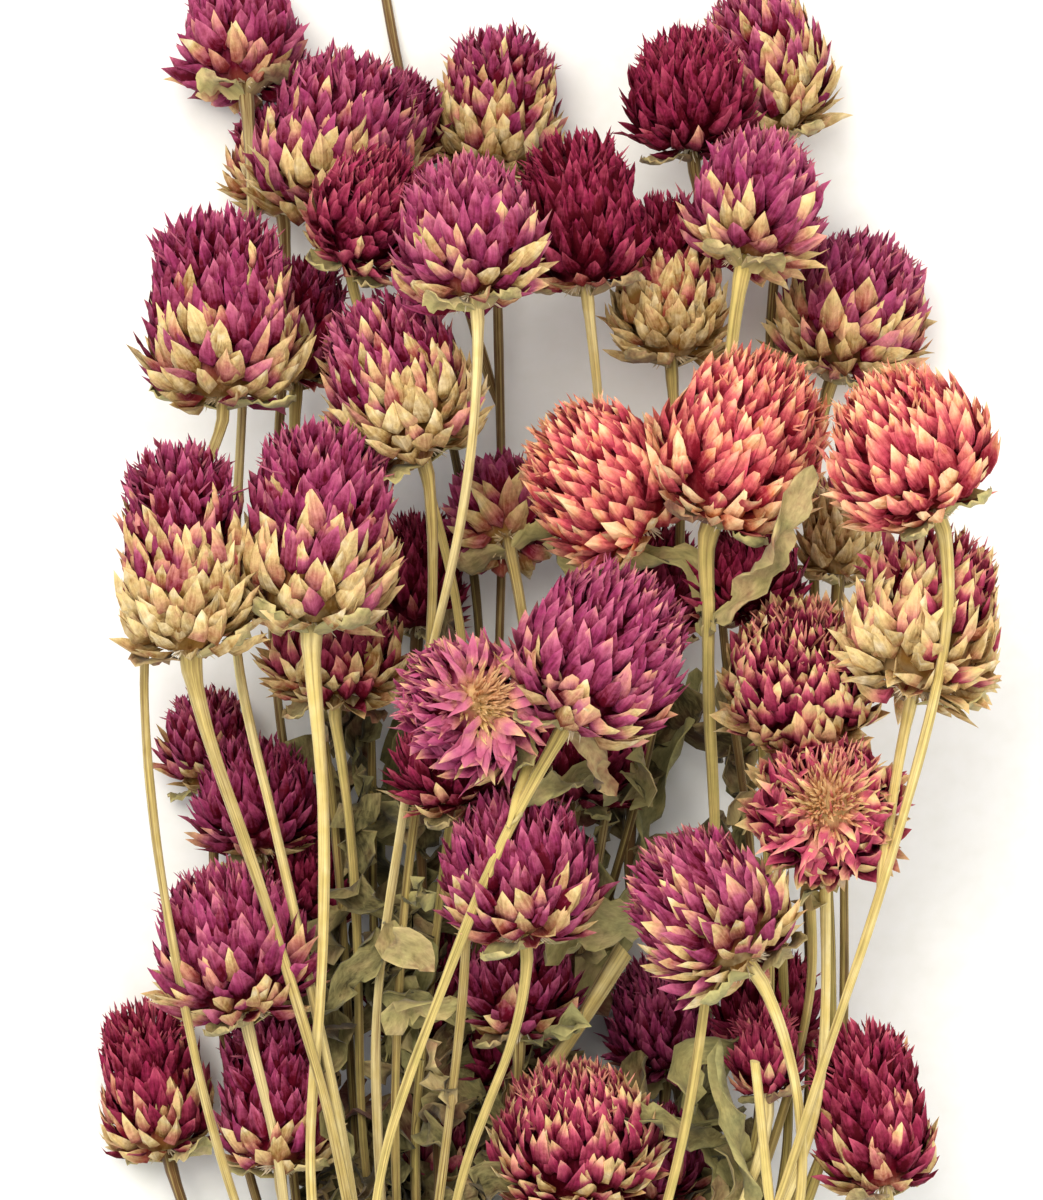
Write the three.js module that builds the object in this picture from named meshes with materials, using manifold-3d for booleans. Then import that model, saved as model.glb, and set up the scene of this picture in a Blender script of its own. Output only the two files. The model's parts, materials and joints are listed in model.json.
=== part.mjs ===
// A bunch of dried globe amaranth that lies on a table, tied with twine.
// +X is to the right and +Y towards the flower heads for someone who looks down on it, and +Z is up.
// Lengths are in millimetres. The origin is on the table, under the middle of the bunch.

import * as THREE from "three";
import { mergeVertices } from "three/addons/utils/BufferGeometryUtils.js";
import Module from "manifold-3d";

const wasm = await Module();
wasm.setup();

// Driving dimensions
const SQUARE = 1.6; // side of one square of the plan on which the flowers are laid out
const GAP = 0.3; // air between two pieces that touch
const CLEARANCE = 0.45; // air that crossing stems are given when they are laid over each other
const CORE_SHARE = 0.9; // the solid head inside its loose bract tips
const STEM_STEP = 11; // distance between two rings of a stem
const STEM_SIDES = 5;
const HEAD_SIDES = 10;
const LEAD_IN = 8; // the last part of a stem runs straight into its head
const SHOULDER = 11; // height over a fork at which a side stem has bent upright
const SHOULDER_OUT = 4; // how far a side stem stands off there
const FOOT_RADIUS = 1.75; // a main stem at its cut end
const TOP_RADIUS = 1.2; // a main stem under its head
const SIDE_RADIUS = 1.05; // a side stem
const LEAF_RADIUS = 2.2; // a dried leaf, rolled up
const LEAF_FLATNESS = 0.55; // its thickness as a share of its width

// The tie: thirteen stalks packed in five layers
const TIE_AT = [47, -72]; // squares
const TIE_HALF_HEIGHT = 5.5;
const TWINE = 1.6; // thickness of the wound twine
const PACKING = 2 * FOOT_RADIUS + GAP; // distance between two stalks in the tie
const BUNDLE_RADIUS = 2 * PACKING + FOOT_RADIUS + GAP;
const TIE_HEIGHT = BUNDLE_RADIUS + TWINE; // height of the bundle's middle over the table
const STRAIGHT_HALF = 9; // the stalks run straight for this far on both sides of the tie
const FOOT_AT = -103; // squares, where the stalks are cut
const FOOT_STAGGER = 4; // squares, the cut ends lie this much apart
const FOOT_SPREAD = 1.35; // the cut ends fan out again by this factor

// Where each stalk runs through the tie, in steps of PACKING to the right and upwards
const SLOTS = {
  1: [-1.5, -1],
  2: [-0.5, 1],
  3: [-1.5, 1],
  4: [-0.5, -1],
  5: [-1, 0],
  6: [0, 2],
  7: [0, 0],
  8: [0, -2],
  9: [0.5, -1],
  10: [1, 0],
  11: [1.5, 1],
  12: [0.5, 1],
  13: [1.5, -1],
};

// One flower: its stalk, the head's middle in squares, the head's width and length, the way it points
// (degrees to the right of +Y, and degrees up from the table), which lies over which where two cross
// (order of the head and of its stem, the larger lies on top), and the stem's course in squares from
// the head down. A main stem ends at the tie, and a side stem joins another stem at a given height.
const flower = (id, stalk, at, size, aim, order, course, joins = null) => ({
  id,
  stalk,
  at,
  size,
  aim,
  order,
  course,
  joins,
});

const FLOWERS = [
  flower("14", 1, [22.2, 88.3], [24, 32], [-2, 0], [2.0, 1.9],
    [[21.6, 76], [18.5, 70], [15, 62], [14.1, 54], [14.6, 46], [16, 35], [17.5, 25], [20, 12], [23.5, 0]]),
  flower("36", 1, [23.3, 25], [24, 26], [-12, 0], [1.25, 1.3],
    [[26, 14], [27.5, 6], [29, 0]], ["14", -22]),
  flower("44", 1, [15, 11], [17.5, 26], [-12, 0], [0.3, 0.3],
    [[17.8, 1], [20, -6]], ["14", -32]),

  flower("18", 2, [18.7, 64.2], [20.5, 35], [-4, 0], [3.0, 3.0],
    [[20.4, 49.5], [22.3, 43], [24.5, 36], [27, 29], [29.5, 22], [32.3, 11], [35, 0]]),
  flower("01", 2, [24, 116], [19.5, 21], [-5, -28], [1.3, 1.5],
    [[25.2, 104], [25.2, 96], [24.5, 85], [23.6, 70], [23.2, 60], [23.7, 51], [25.5, 45], [29, 32],
      [31, 22], [33.2, 11], [35.6, 1]], ["18", -26]),
  flower("45", 2, [27.5, 10.3], [17.5, 27], [-3, 0], [0.4, 0.4],
    [[28.2, -1], [30, -8]], ["18", -32]),

  flower("19", 3, [32, 66.5], [24, 34], [4, 0], [2.6, 2.6],
    [[31.5, 53], [32.2, 46], [32.8, 36], [32.6, 28], [32, 19], [31.2, 10], [30.9, 0]]),
  flower("35", 3, [25.7, 39.5], [19.5, 19.5], [-3, 10], [1.0, 0.35],
    [[26.2, 31], [27, 22], [28.3, 11], [29.3, 0]], ["19", -30]),
  flower("34", 3, [20.6, 45.5], [14, 16], [-5, 5], [0.6, 0.2],
    [[21.2, 37], [21.2, 26], [22.4, 12], [25.4, 0], [28, -8]], ["19", -33]),
  flower("02", 3, [27.5, 104], [15, 18], [-6, 0], [0.2, 0.1],
    [[28.4, 95], [28.5, 84], [27.4, 74], [26.8, 62], [27.7, 48], [29.8, 34], [30.5, 20], [31.5, 8],
      [32.6, -4]], ["19", -36]),

  flower("33", 4, [33.7, 54], [22, 16], [4, 15], [1.4, 1.4],
    [[34.8, 46], [35.8, 39], [36, 32], [35.6, 22], [35.9, 10], [36.8, 0]]),
  flower("15", 4, [30, 87.2], [15, 21], [4, 0], [0.7, 0.15],
    [[29, 77.5], [29.6, 66], [31, 54], [33, 42], [34.3, 30], [34.6, 16], [35.8, 3]], ["33", -28]),
  flower("03", 4, [34, 105.3], [25, 29], [12, 5], [0.65, 0.2],
    [[31.4, 93], [33.6, 84], [36, 74], [36.6, 62], [36.8, 50], [37.3, 38], [37.3, 24], [37.6, 10]],
    ["33", -32]),

  flower("07", 5, [47, 95.7], [22.5, 24.5], [-6, -12], [2.0, 1.7],
    [[48.2, 84], [47.6, 76], [46.4, 69], [44.6, 60], [42.6, 53], [41, 44], [40, 36], [38.6, 28],
      [37.6, 20], [37.4, 10], [37.6, 0]]),
  flower("16", 5, [40, 81.3], [23, 28], [-18, 0], [1.6, 1.5],
    [[43.4, 68.5], [43.4, 60], [42.8, 50], [41.6, 38], [40, 26], [39.4, 12], [39.5, 0]], ["07", -20]),
  flower("04", 5, [37.2, 98.3], [18.5, 20], [22, 30], [1.2, 0.9],
    [[36.2, 91], [39.4, 81], [42.6, 73], [45.4, 62.5], [46.8, 55], [46.4, 46], [44.4, 34], [42.4, 20],
      [41.2, 6]], ["07", -30]),

  flower("30", 6, [60, 54.3], [26, 28], [28, 8], [3.1, 3.1],
    [[53.8, 43.2], [50.8, 37.6], [48, 32], [45.5, 25], [43, 18], [40, 9.5], [36.8, 0.5]]),
  flower("31", 6, [47, 49.5], [20, 22], [-62, 25], [3.0, 3.0],
    [], ["30", 44.2]),

  flower("37", 7, [52, 32.8], [24, 25], [-5, 0], [1.9, 1.9],
    [[52.3, 21.5], [51.4, 17], [50, 12], [47.7, 6.5], [44.8, 0.5]]),
  flower("32", 7, [45.7, 43.7], [19, 18], [-8, 10], [1.8, 0.9],
    [[46.7, 35], [46.8, 26], [46, 18], [45, 9], [44.3, 1]], ["37", -22]),
  flower("24", 7, [41.8, 62.2], [14, 20], [3, 0], [0.5, 0.3],
    [[41.7, 52.5], [41.8, 44], [42, 32], [42.8, 19], [43.6, 9], [44, 0]], ["37", -32]),
  flower("43", 7, [43.5, 6], [14.5, 18], [0, 5], [0.1, 0.1],
    [[43.8, -4]], ["37", -36]),

  flower("06", 8, [49.8, 109.3], [19.5, 25], [4, 0], [0.9, 0.6],
    [[49.8, 98], [50, 88], [50.1, 76], [50.1, 64], [49.9, 52], [49.6, 40], [49.1, 28], [48.7, 16],
      [48.5, 6], [48.3, -4]]),
  flower("05", 8, [39.5, 107.8], [15, 16], [15, 5], [0.3, 0.12],
    [[39.4, 99], [42, 88], [45, 78], [47, 67], [48, 56], [48.2, 44], [47.8, 30], [47.2, 14], [47.4, 3]],
    ["06", -12]),
  flower("23", 8, [50.3, 68.7], [17.5, 19], [-10, -48], [1.0, 0.7],
    [[52.6, 59.5], [53.5, 51], [52.9, 41], [51.9, 30], [50.9, 16], [50.2, 4]], ["06", -18]),

  flower("08", 9, [58, 98], [20, 26], [-6, 0], [1.1, 0.7],
    [[59.6, 86], [60, 78], [60.6, 68], [61.2, 58], [61.6, 47], [61.2, 36], [60.4, 26], [57.5, 18.6],
      [54.4, 12.4], [52, 5.5], [50.6, -2]]),
  flower("38", 9, [52, 21], [18, 18], [2, 0], [0.8, 0.75],
    [], ["08", 4]),
  flower("42", 9, [57.5, 6], [26, 24], [-5, 28], [1.6, 0.9],
    [[57.5, -5], [56, -13]], ["08", -32]),

  flower("12", 9, [66.8, 91.5], [17.5, 28], [-3, 0], [0.5, 0.3],
    [[67.4, 80.5], [67.9, 72], [68.4, 62.5], [67.3, 56], [65.8, 48.7], [63.6, 40], [62.2, 33]],
    ["08", 22]),

  flower("21", 10, [74, 75.2], [26, 29], [22, 12], [2.35, 2.3],
    [[69.4, 62.4], [70.1, 57], [70.7, 51], [71.2, 45], [71.5, 38], [71.4, 30], [70.8, 21], [69.3, 11],
      [67, 1]]),
  flower("20", 10, [60.6, 71.8], [24, 26], [-42, 12], [2.25, 2.25],
    [], ["21", 62]),
  flower("17", 10, [65.8, 3.5], [16, 17], [5, 20], [1.0, 0.5],
    [[65.2, -6]], ["21", -32]),
  flower("40", 10, [66.3, 17.5], [17, 20], [-5, 25], [0.9, 0.35],
    [[66.6, 9], [65.6, 0], [63.4, -9]], ["21", -36]),

  flower("39", 11, [70.8, 29], [23, 26], [-38, -8], [2.5, 2.5],
    [[77.6, 19.6], [79, 14.5], [79.9, 9], [80.3, 4], [80.4, -2]]),
  flower("11", 11, [75.5, 99.3], [20.5, 23], [12, -18], [2.1, 0.28],
    [[72.9, 87], [72.5, 80], [72.9, 72], [74, 63], [75.8, 52], [77.4, 40], [78.2, 28], [78.6, 16],
      [79.4, 5]], ["39", -28]),
  flower("09", 11, [69, 110.2], [19.5, 21], [-4, 8], [0.48, 0.2],
    [[70, 101], [71.8, 93], [72.3, 84], [71.4, 76], [71.2, 68], [72.2, 58], [73.6, 47], [75, 37],
      [75.7, 26], [76.2, 14], [77.4, 4]], ["39", -32]),
  flower("10", 11, [76.8, 113.2], [20.5, 25], [-14, 0], [0.4, 0.25],
    [[78.4, 102.5], [77.4, 94], [76.9, 85], [77.2, 75], [78.2, 63], [79.3, 51], [80.3, 40], [80.9, 29],
      [81.1, 18], [81.3, 6]], ["39", -36]),

  flower("22", 12, [90.5, 74.5], [26, 25], [-25, 8], [2.6, 2.6],
    [[94.3, 61], [93.9, 55], [93, 49.5], [91.6, 44], [90.2, 39], [88.3, 33], [86.3, 27], [84.3, 21],
      [82.4, 15], [80.6, 9], [78.8, 1]]),
  flower("27", 12, [92.5, 57.8], [24, 28], [12, 0], [2.12, 2.3],
    [[89.6, 45.5], [88.6, 40], [87.5, 35], [86.3, 29], [85.3, 22], [84.2, 15], [83, 8], [81.5, 0]],
    ["22", -12]),
  flower("13", 12, [85.5, 88.7], [23.5, 24.5], [18, 0], [0.55, 0.5],
    [[82, 77], [81.2, 69], [81.5, 60], [82, 50], [82.4, 40], [82.9, 30], [83.5, 20], [83.4, 10],
      [82.3, 1]], ["22", -28]),
  flower("46", 12, [87, 8.5], [18.5, 28], [-12, 0], [0.8, 0.8],
    [[88.6, -5.5], [86, -14]], ["22", -34]),

  flower("28", 13, [80, 52], [25, 24.5], [0, 40], [1.7, 1.0],
    [[80.3, 40], [81, 32], [81.5, 24], [80.9, 16], [79.4, 8.5], [77.2, 2.8], [75.4, -4]]),
  flower("29", 13, [82.5, 39.3], [23.5, 20], [5, 60], [2.0, 0.9],
    [[82.2, 31], [82.8, 22], [82.2, 12], [79.8, 1]], ["28", -16]),
  flower("26", 13, [84.3, 66.8], [13, 18], [4, 0], [0.6, 0.4],
    [[83.6, 57.5], [83.9, 48], [84.4, 38], [84.6, 28], [84.7, 18], [83.7, 8], [81.2, -2]], ["28", -22]),
  flower("25", 13, [74.8, 62], [17, 16], [0, 5], [0.6, 0.3],
    [[75.2, 53], [76.5, 44], [76.9, 33], [77, 22], [76.6, 11], [75.6, 1]], ["28", -26]),
  flower("41", 13, [76.5, 14.5], [10.5, 16], [-3, 0], [1.05, 1.05],
    [[77.2, 7]], ["28", 2.8]),
];

// A side shoot with no flower: the flower whose stem carries it and the height in squares at which it
// leaves that stem, its order, and its course in squares from its tip down to the stem.
const shoot = (id, host, height, order, course, isLeaf = true) => ({
  id,
  host,
  height,
  order,
  course,
  isLeaf,
});

const SHOOTS = [
  shoot("leaf_a", "21", 61.4, 2.4, [[81, 73.4], [79.6, 68.4], [75.6, 63.4], [72, 62]]),
  shoot("leaf_b", "20", 64.6, 2.2, [[54.2, 65.6], [58, 64], [62, 63.4]]),
  shoot("leaf_c", "30", 43.6, 3.05, [[61.4, 40.2], [59.4, 43], [56.8, 44]]),
  shoot("leaf_d", "08", 29, 1.7, [[54.4, 24.2], [56.6, 25], [58.8, 27]]),
  shoot("leaf_e", "33", 37.6, 1.5, [[36.4, 29.4], [34.4, 32.6], [34.9, 36]]),
  shoot("leaf_f", "04", 20.5, 1.75, [[38.6, 13.6], [39.8, 17.6], [41.2, 21]]),
  shoot("leaf_g", "04", 23, 1.75, [[38.8, 28.4], [40.2, 27.2], [41.8, 23.8]]),
  shoot("leaf_h", "28", 3.4, 1.2, [[71.9, 16.4], [72.6, 11], [74.6, 6.4]]),
  shoot("leaf_i", "28", 1.6, 1.1, [[68.9, 11.4], [70.4, 6.6], [73.6, 3.2]]),
  shoot("leaf_j", "12", 31, 1.0, [[69.8, 53.2], [68, 45], [66.4, 39.6], [64.6, 34.6]]),
  shoot("snapped_a", "06", 84, 0.08, [[38.3, 121.6], [39.8, 113.6], [42, 104], [45.4, 93.4]], false),
  shoot("snapped_b", "27", -9, 2.9, [[75.2, 14.3], [79.6, 7.2], [83.2, 0.6]], false),
];

// How the stems and heads are let down on each other
const ROUNDS = 1000;
const LAST_ROUNDS = 150; // at the end nothing sinks any more and only overlaps are cleared
const RENEW = 25; // rounds after which the meeting places are looked up again
const SINK = 0.12; // how far everything is let down in a round
const STIFFNESS = 0.5; // how much a stem straightens in a round
const YIELD = 0.15; // how much of a lift goes into pushing the lower piece down instead
const START_LAYER = 11; // height that one step of order gives at the start
const FORK_BLEND = 20; // over this length a side stem takes the order of the one that carries it
const CEILING = 90; // nothing is lifted higher
const LOOSE_BELOW = -2 * SQUARE; // below this line the stems may also give way sideways
const TIE_ORDER = 1.3; // the order that matches the middle of the tie
const TIE_ORDER_STEP = 0.55;

const radians = THREE.MathUtils.degToRad;
const { lerp, clamp } = THREE.MathUtils;
const onPlan = ([x, y]) => new THREE.Vector3(x * SQUARE, y * SQUARE, 0);
const tieTop = TIE_AT[1] * SQUARE + STRAIGHT_HALF;

// The way a head points, from its stem to its crown
function aimOf([heading, rise]) {
  const flat = Math.cos(radians(rise));
  return new THREE.Vector3(
    Math.sin(radians(heading)) * flat,
    Math.cos(radians(heading)) * flat,
    Math.sin(radians(rise)),
  );
}

function makeHead(item) {
  const aim = aimOf(item.aim);
  const [across, long] = item.size;
  const centre = onPlan(item.at);
  const reach = ((long - across) / 2) * CORE_SHARE;
  const radius = (across / 2) * CORE_SHARE;
  centre.z = radius + item.order[0] * START_LAYER;
  return {
    item,
    aim,
    centre,
    radius,
    order: item.order[0],
    halfLength: (long / 2) * CORE_SHARE,
    balls: [-reach, 0, reach].map((along) => aim.clone().multiplyScalar(along)),
  };
}

// Evenly spaced points of a smooth line through the given ones
function spaced(points) {
  const curve = new THREE.CatmullRomCurve3(points, false, "centripetal");
  return curve.getSpacedPoints(Math.max(2, Math.round(curve.getLength() / STEM_STEP)));
}

// The nearest places of two segments: how far along each one
const along = new THREE.Vector3();
const across = new THREE.Vector3();
const between = new THREE.Vector3();

function nearest(a0, a1, b0, b1) {
  along.subVectors(a1, a0);
  across.subVectors(b1, b0);
  between.subVectors(a0, b0);
  const aa = along.dot(along);
  const ab = along.dot(across);
  const bb = across.dot(across);
  const cross = aa * bb - ab * ab;
  const aw = along.dot(between);
  const bw = across.dot(between);
  let s = cross > 1e-9 ? clamp((ab * bw - bb * aw) / cross, 0, 1) : 0.5;
  const t = bb > 1e-9 ? clamp((ab * s + bw) / bb, 0, 1) : 0;
  s = aa > 1e-9 ? clamp((ab * t - aw) / aa, 0, 1) : 0;
  between.addScaledVector(along, s).addScaledVector(across, -t);
  return { s, t, gap: between };
}

// Stems, leaves and snapped shoots are all strands: points from the tip down, with a thickness.
// Each point has a home, from which it gives way when something is laid over it.
const heads = FLOWERS.map(makeHead);
const strands = new Map();

// The place on a strand that lies at a given height of the plan
function placeAt(strand, y) {
  const last = strand.points.length - 1;
  for (let i = 0; i < last; i++) {
    const upper = strand.points[i].y;
    const lower = strand.points[i + 1].y;
    if (upper >= y && lower <= y) return { strand, i, share: (upper - y) / (upper - lower) };
  }
  return { strand, i: last - 1, share: 1 };
}

const pointAt = ({ strand, i, share }) => strand.points[i].clone().lerp(strand.points[i + 1], share);

// The points with which a side shoot bends into the stem that carries it
function forkEnd(before, place) {
  const end = pointAt(place).setZ(0);
  if (before.distanceTo(end) < 2 * SHOULDER) return [end];
  const shoulder = end.clone().setY(end.y + SHOULDER);
  shoulder.x += Math.sign(before.x - end.x) * SHOULDER_OUT;
  return [shoulder, end];
}

function tiePoints(stalk) {
  const x = TIE_AT[0] * SQUARE;
  const offset = SLOTS[stalk][0] * PACKING;
  const y = TIE_AT[1] * SQUARE;
  const foot = (FOOT_AT + ((stalk * 5) % 7) * (FOOT_STAGGER / 7)) * SQUARE;
  return [
    new THREE.Vector3(x + offset, y + STRAIGHT_HALF, 0),
    new THREE.Vector3(x + offset, y - STRAIGHT_HALF, 0),
    new THREE.Vector3(x + offset * FOOT_SPREAD, foot, 0),
  ];
}

// Where a main stem is in the tie and on its way from there to its cut end
function tiedPoint(stalk, y) {
  const reach = (FOOT_AT - TIE_AT[1]) * SQUARE + STRAIGHT_HALF;
  const below = clamp((y - TIE_AT[1] * SQUARE + STRAIGHT_HALF) / reach, 0, 1);
  const spacing = PACKING * lerp(1, FOOT_SPREAD, below);
  const [across, upward] = SLOTS[stalk];
  return new THREE.Vector3(TIE_AT[0] * SQUARE + across * spacing, y, TIE_HEIGHT + upward * spacing);
}

// A strand's order at one of its points. At its top it is that of the head, and at its lower end it
// runs over into the order of what carries the strand.
function orderAt(strand, i) {
  const { head, host, isMain, points, stalk } = strand;
  const order = head && i < 2 ? head.order : strand.order;
  if (isMain) {
    const share = clamp(points[i].y / tieTop, 0, 1);
    return lerp(order, TIE_ORDER + SLOTS[stalk][1] * TIE_ORDER_STEP, share);
  }
  const last = points.length - 1;
  const blend = Math.min(FORK_BLEND, last * STEM_STEP * 0.7);
  const share = clamp(1 - ((last - i) * STEM_STEP) / blend, 0, 1);
  return share > 0 ? lerp(order, orderAt(host.strand, host.i), share) : order;
}

function addStrand(strand) {
  strands.set(strand.id, strand);
  strand.points.forEach((point, i) => {
    point.z = SIDE_RADIUS + orderAt(strand, i) * START_LAYER;
  });
  strand.home = strand.points.map((point) => point.clone());
}

for (const head of heads) {
  const { item, aim, centre } = head;
  const base = centre.clone().addScaledVector(aim, -(head.halfLength + GAP)).setZ(0);
  const lead = base.clone().addScaledVector(aim, -LEAD_IN).setZ(0);
  const course = [lead, ...item.course.map(onPlan)];
  const isMain = item.joins === null;
  const host = isMain ? null : placeAt(strands.get(item.joins[0]), item.joins[1] * SQUARE);
  course.push(...(isMain ? tiePoints(item.stalk) : forkEnd(course[course.length - 1], host)));
  addStrand({
    id: item.id,
    stalk: item.stalk,
    head,
    host,
    isMain,
    isLeaf: false,
    order: item.order[1],
    radius: isMain ? FOOT_RADIUS : SIDE_RADIUS,
    points: [base, ...spaced(course)],
  });
}

for (const item of SHOOTS) {
  const carrier = strands.get(item.host);
  const host = placeAt(carrier, item.height * SQUARE);
  addStrand({
    id: item.id,
    stalk: carrier.stalk,
    head: null,
    host,
    isMain: false,
    isLeaf: item.isLeaf,
    order: item.order,
    radius: item.isLeaf ? LEAF_RADIUS : SIDE_RADIUS,
    points: spaced([...item.course.map(onPlan), pointAt(host).setZ(0)]),
  });
}

// Main stems are held in the tie and below it, and a side shoot is held where it leaves its carrier
const isHeld = (strand, i) =>
  (strand.isMain && strand.home[i].y < tieTop + 1) ||
  (strand.host !== null && i === strand.points.length - 1);

// How far a stem's first and second points are over the middle of its head
const leadDrop = (head, index) => -head.aim.z * (head.halfLength + GAP + index * LEAD_IN);

// A place is a weighted mean of points plus a shift. The two uppermost points of a stem go with its
// head, and a held point is read but not moved.
function placeOn(strand, i, share) {
  const place = { parts: [], shift: 0 };
  for (const [index, weight] of [[i, 1 - share], [i + 1, share]]) {
    const isLed = strand.head && index < 2;
    if (isLed) place.shift += weight * leadDrop(strand.head, index);
    place.parts.push({
      point: isLed ? strand.head.centre : strand.points[index],
      weight,
      isFree: !isHeld(strand, index),
      isLoose: !isLed && strand.home[index].y < LOOSE_BELOW,
    });
  }
  return place;
}

const placeInHead = (head, ball) => ({
  parts: [{ point: head.centre, weight: 1, isFree: true, isLoose: false }],
  shift: ball.z,
});

const heightOf = ({ parts, shift }) =>
  parts.reduce((sum, { point, weight }) => sum + weight * point.z, shift);

// Moves a place along a direction. Points that are not loose only take the upright part of it.
const LEAST_GRIP = 0.15;

function moveBy({ parts }, direction, distance) {
  const grip = parts.map(({ weight, isFree, isLoose }) => {
    if (!isFree) return 0;
    return weight ** 2 * (isLoose ? 1 : direction.z ** 2);
  });
  const total = grip.reduce((sum, value) => sum + value, 0);
  if (total < LEAST_GRIP) return;
  for (const { point, weight, isFree, isLoose } of parts) {
    if (!isFree) continue;
    const push = (distance * weight) / total;
    point.z += push * direction.z;
    if (!isLoose) continue;
    point.x += push * direction.x;
    point.y += push * direction.y;
  }
}

const thickness = ({ isMain, radius, points }, i) =>
  isMain ? lerp(TOP_RADIUS, radius, (i + 1) / (points.length - 1)) : radius;

const flat = (point) => point.clone().setZ(0);
const UPRIGHT = new THREE.Vector3(0, 0, 1);

// Every two places that would touch in plan. Two stems that are loose there are kept apart the way
// they lie, and all others by the height that their order asks for.
function meetings() {
  const stacked = [];
  const passing = [];
  const all = [...strands.values()];
  const stack = (a, orderA, b, orderB, apart, reach) => {
    if (apart >= reach) return;
    const [upper, lower] = orderA >= orderB ? [a, b] : [b, a];
    stacked.push({ upper, lower, height: Math.sqrt(reach ** 2 - apart ** 2) });
  };
  const meetStrands = (a, b) => {
    for (let i = 0; i < a.points.length - 1; i++)
      for (let j = 0; j < b.points.length - 1; j++) {
        const [a0, a1, b0, b1] = [a.points[i], a.points[i + 1], b.points[j], b.points[j + 1]];
        if (a1.y > b0.y + STEM_STEP || b1.y > a0.y + STEM_STEP) continue;
        if (isHeld(a, i) && a.isMain && isHeld(b, j) && b.isMain) continue;
        const near = nearest(flat(a0), flat(a1), flat(b0), flat(b1));
        const reach = thickness(a, i) + thickness(b, j) + CLEARANCE;
        const apart = near.gap.length();
        const isLoose = a.home[i + 1].y < LOOSE_BELOW && b.home[j + 1].y < LOOSE_BELOW;
        if (!isLoose)
          stack(
            placeOn(a, i, near.s), orderAt(a, i), placeOn(b, j, near.t), orderAt(b, j), apart, reach,
          );
        else if (apart < 2 * reach) passing.push({ a, i, b, j, reach });
      }
  };
  const meetHead = (head, strand) => {
    for (const ball of head.balls) {
      const middle = flat(head.centre.clone().add(ball));
      for (let i = 0; i < strand.points.length - 1; i++) {
        const near = nearest(middle, middle, flat(strand.points[i]), flat(strand.points[i + 1]));
        const reach = head.radius + thickness(strand, i) + CLEARANCE;
        stack(
          placeInHead(head, ball), head.order, placeOn(strand, i, near.t), orderAt(strand, i),
          near.gap.length(), reach,
        );
      }
    }
  };
  const meetHeads = (a, b) => {
    for (const ballA of a.balls)
      for (const ballB of b.balls) {
        const apart = flat(a.centre.clone().add(ballA).sub(b.centre).sub(ballB)).length();
        stack(
          placeInHead(a, ballA), a.order, placeInHead(b, ballB), b.order,
          apart, a.radius + b.radius + GAP,
        );
      }
  };
  all.forEach((a, n) =>
    all.slice(n + 1).filter((b) => b.stalk !== a.stalk).forEach((b) => meetStrands(a, b)),
  );
  heads.forEach((head, n) => {
    all.filter((strand) => strand.head !== head).forEach((strand) => meetHead(head, strand));
    heads.slice(n + 1).forEach((other) => meetHeads(head, other));
  });
  return { stacked, passing };
}

// A height between two pieces is made up mostly by a lift of the upper one
function stackUp({ upper, lower, height }) {
  const lack = height - (heightOf(upper) - heightOf(lower));
  if (lack <= 0) return;
  moveBy(upper, UPRIGHT, lack * (1 - YIELD));
  moveBy(lower, UPRIGHT, -lack * YIELD);
}

const push = new THREE.Vector3();

function passBy({ a, i, b, j, reach }) {
  const { s, t, gap } = nearest(a.points[i], a.points[i + 1], b.points[j], b.points[j + 1]);
  const lack = reach - gap.length();
  if (lack <= 0) return;
  push.copy(gap).normalize();
  moveBy(placeOn(a, i, s), push, lack / 2);
  moveBy(placeOn(b, j, t), push, -lack / 2);
}

// What is fixed: the main stems in the tie, the forks, the straight end of each stem, and the table
function holdFixed() {
  for (const { head, points, radius } of strands.values()) {
    if (!head) continue;
    const { centre, balls } = head;
    const lowest = Math.min(...balls.map((ball) => ball.z)) - head.radius;
    centre.z = clamp(centre.z, Math.max(-lowest, radius - leadDrop(head, 1)), CEILING);
    for (const i of [0, 1]) points[i].z = centre.z + leadDrop(head, i);
  }
  for (const strand of strands.values()) {
    const { points, home, host, isMain, stalk, radius } = strand;
    points.forEach((point, i) => {
      point.z = clamp(point.z, radius, CEILING);
      if (isMain && isHeld(strand, i)) point.copy(tiedPoint(stalk, home[i].y));
    });
    if (host) points[points.length - 1].copy(pointAt(host));
  }
}

// One step of sinking and straightening of all strands
function ease(strand, sink) {
  const { head, points, home } = strand;
  if (!head) points[0].z += STIFFNESS * (2 * points[1].z - points[2].z - points[0].z);
  for (let i = 1; i < points.length - 1; i++) {
    const [before, point, after] = [points[i - 1], points[i], points[i + 1]];
    point.z += STIFFNESS * ((before.z + after.z) / 2 - point.z) - sink;
    if (home[i].y >= LOOSE_BELOW) continue;
    for (const axis of ["x", "y"]) {
      const bend = (before[axis] + after[axis]) / 2 - point[axis];
      const homeBend = (home[i - 1][axis] + home[i + 1][axis]) / 2 - home[i][axis];
      point[axis] += STIFFNESS * (bend - homeBend);
    }
  }
}

function letDown() {
  let pairs = meetings();
  for (let round = 0; round < ROUNDS + LAST_ROUNDS; round++) {
    if (round % RENEW === 0) pairs = meetings();
    const easing = Math.max(0, 1 - round / ROUNDS);
    for (const head of heads) head.centre.z -= SINK * easing;
    if (easing > 0) for (const strand of strands.values()) ease(strand, SINK * easing);
    pairs.stacked.forEach(stackUp);
    pairs.passing.forEach(passBy);
    holdFixed();
  }
}

holdFixed();
letDown();

// A bar whose radius follows a profile, bent along a line of points with one ring at each point. The
// profile's points are [radius, share of the length]. A flatness under 1 makes its section an ellipse.
function radiusAt(profile, share) {
  const next = profile.findIndex(([, at]) => at >= share - 1e-9);
  if (next <= 0) return profile[0][0];
  const [r0, s0] = profile[next - 1];
  const [r1, s1] = profile[next];
  return lerp(r0, r1, (share - s0) / (s1 - s0));
}

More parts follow.
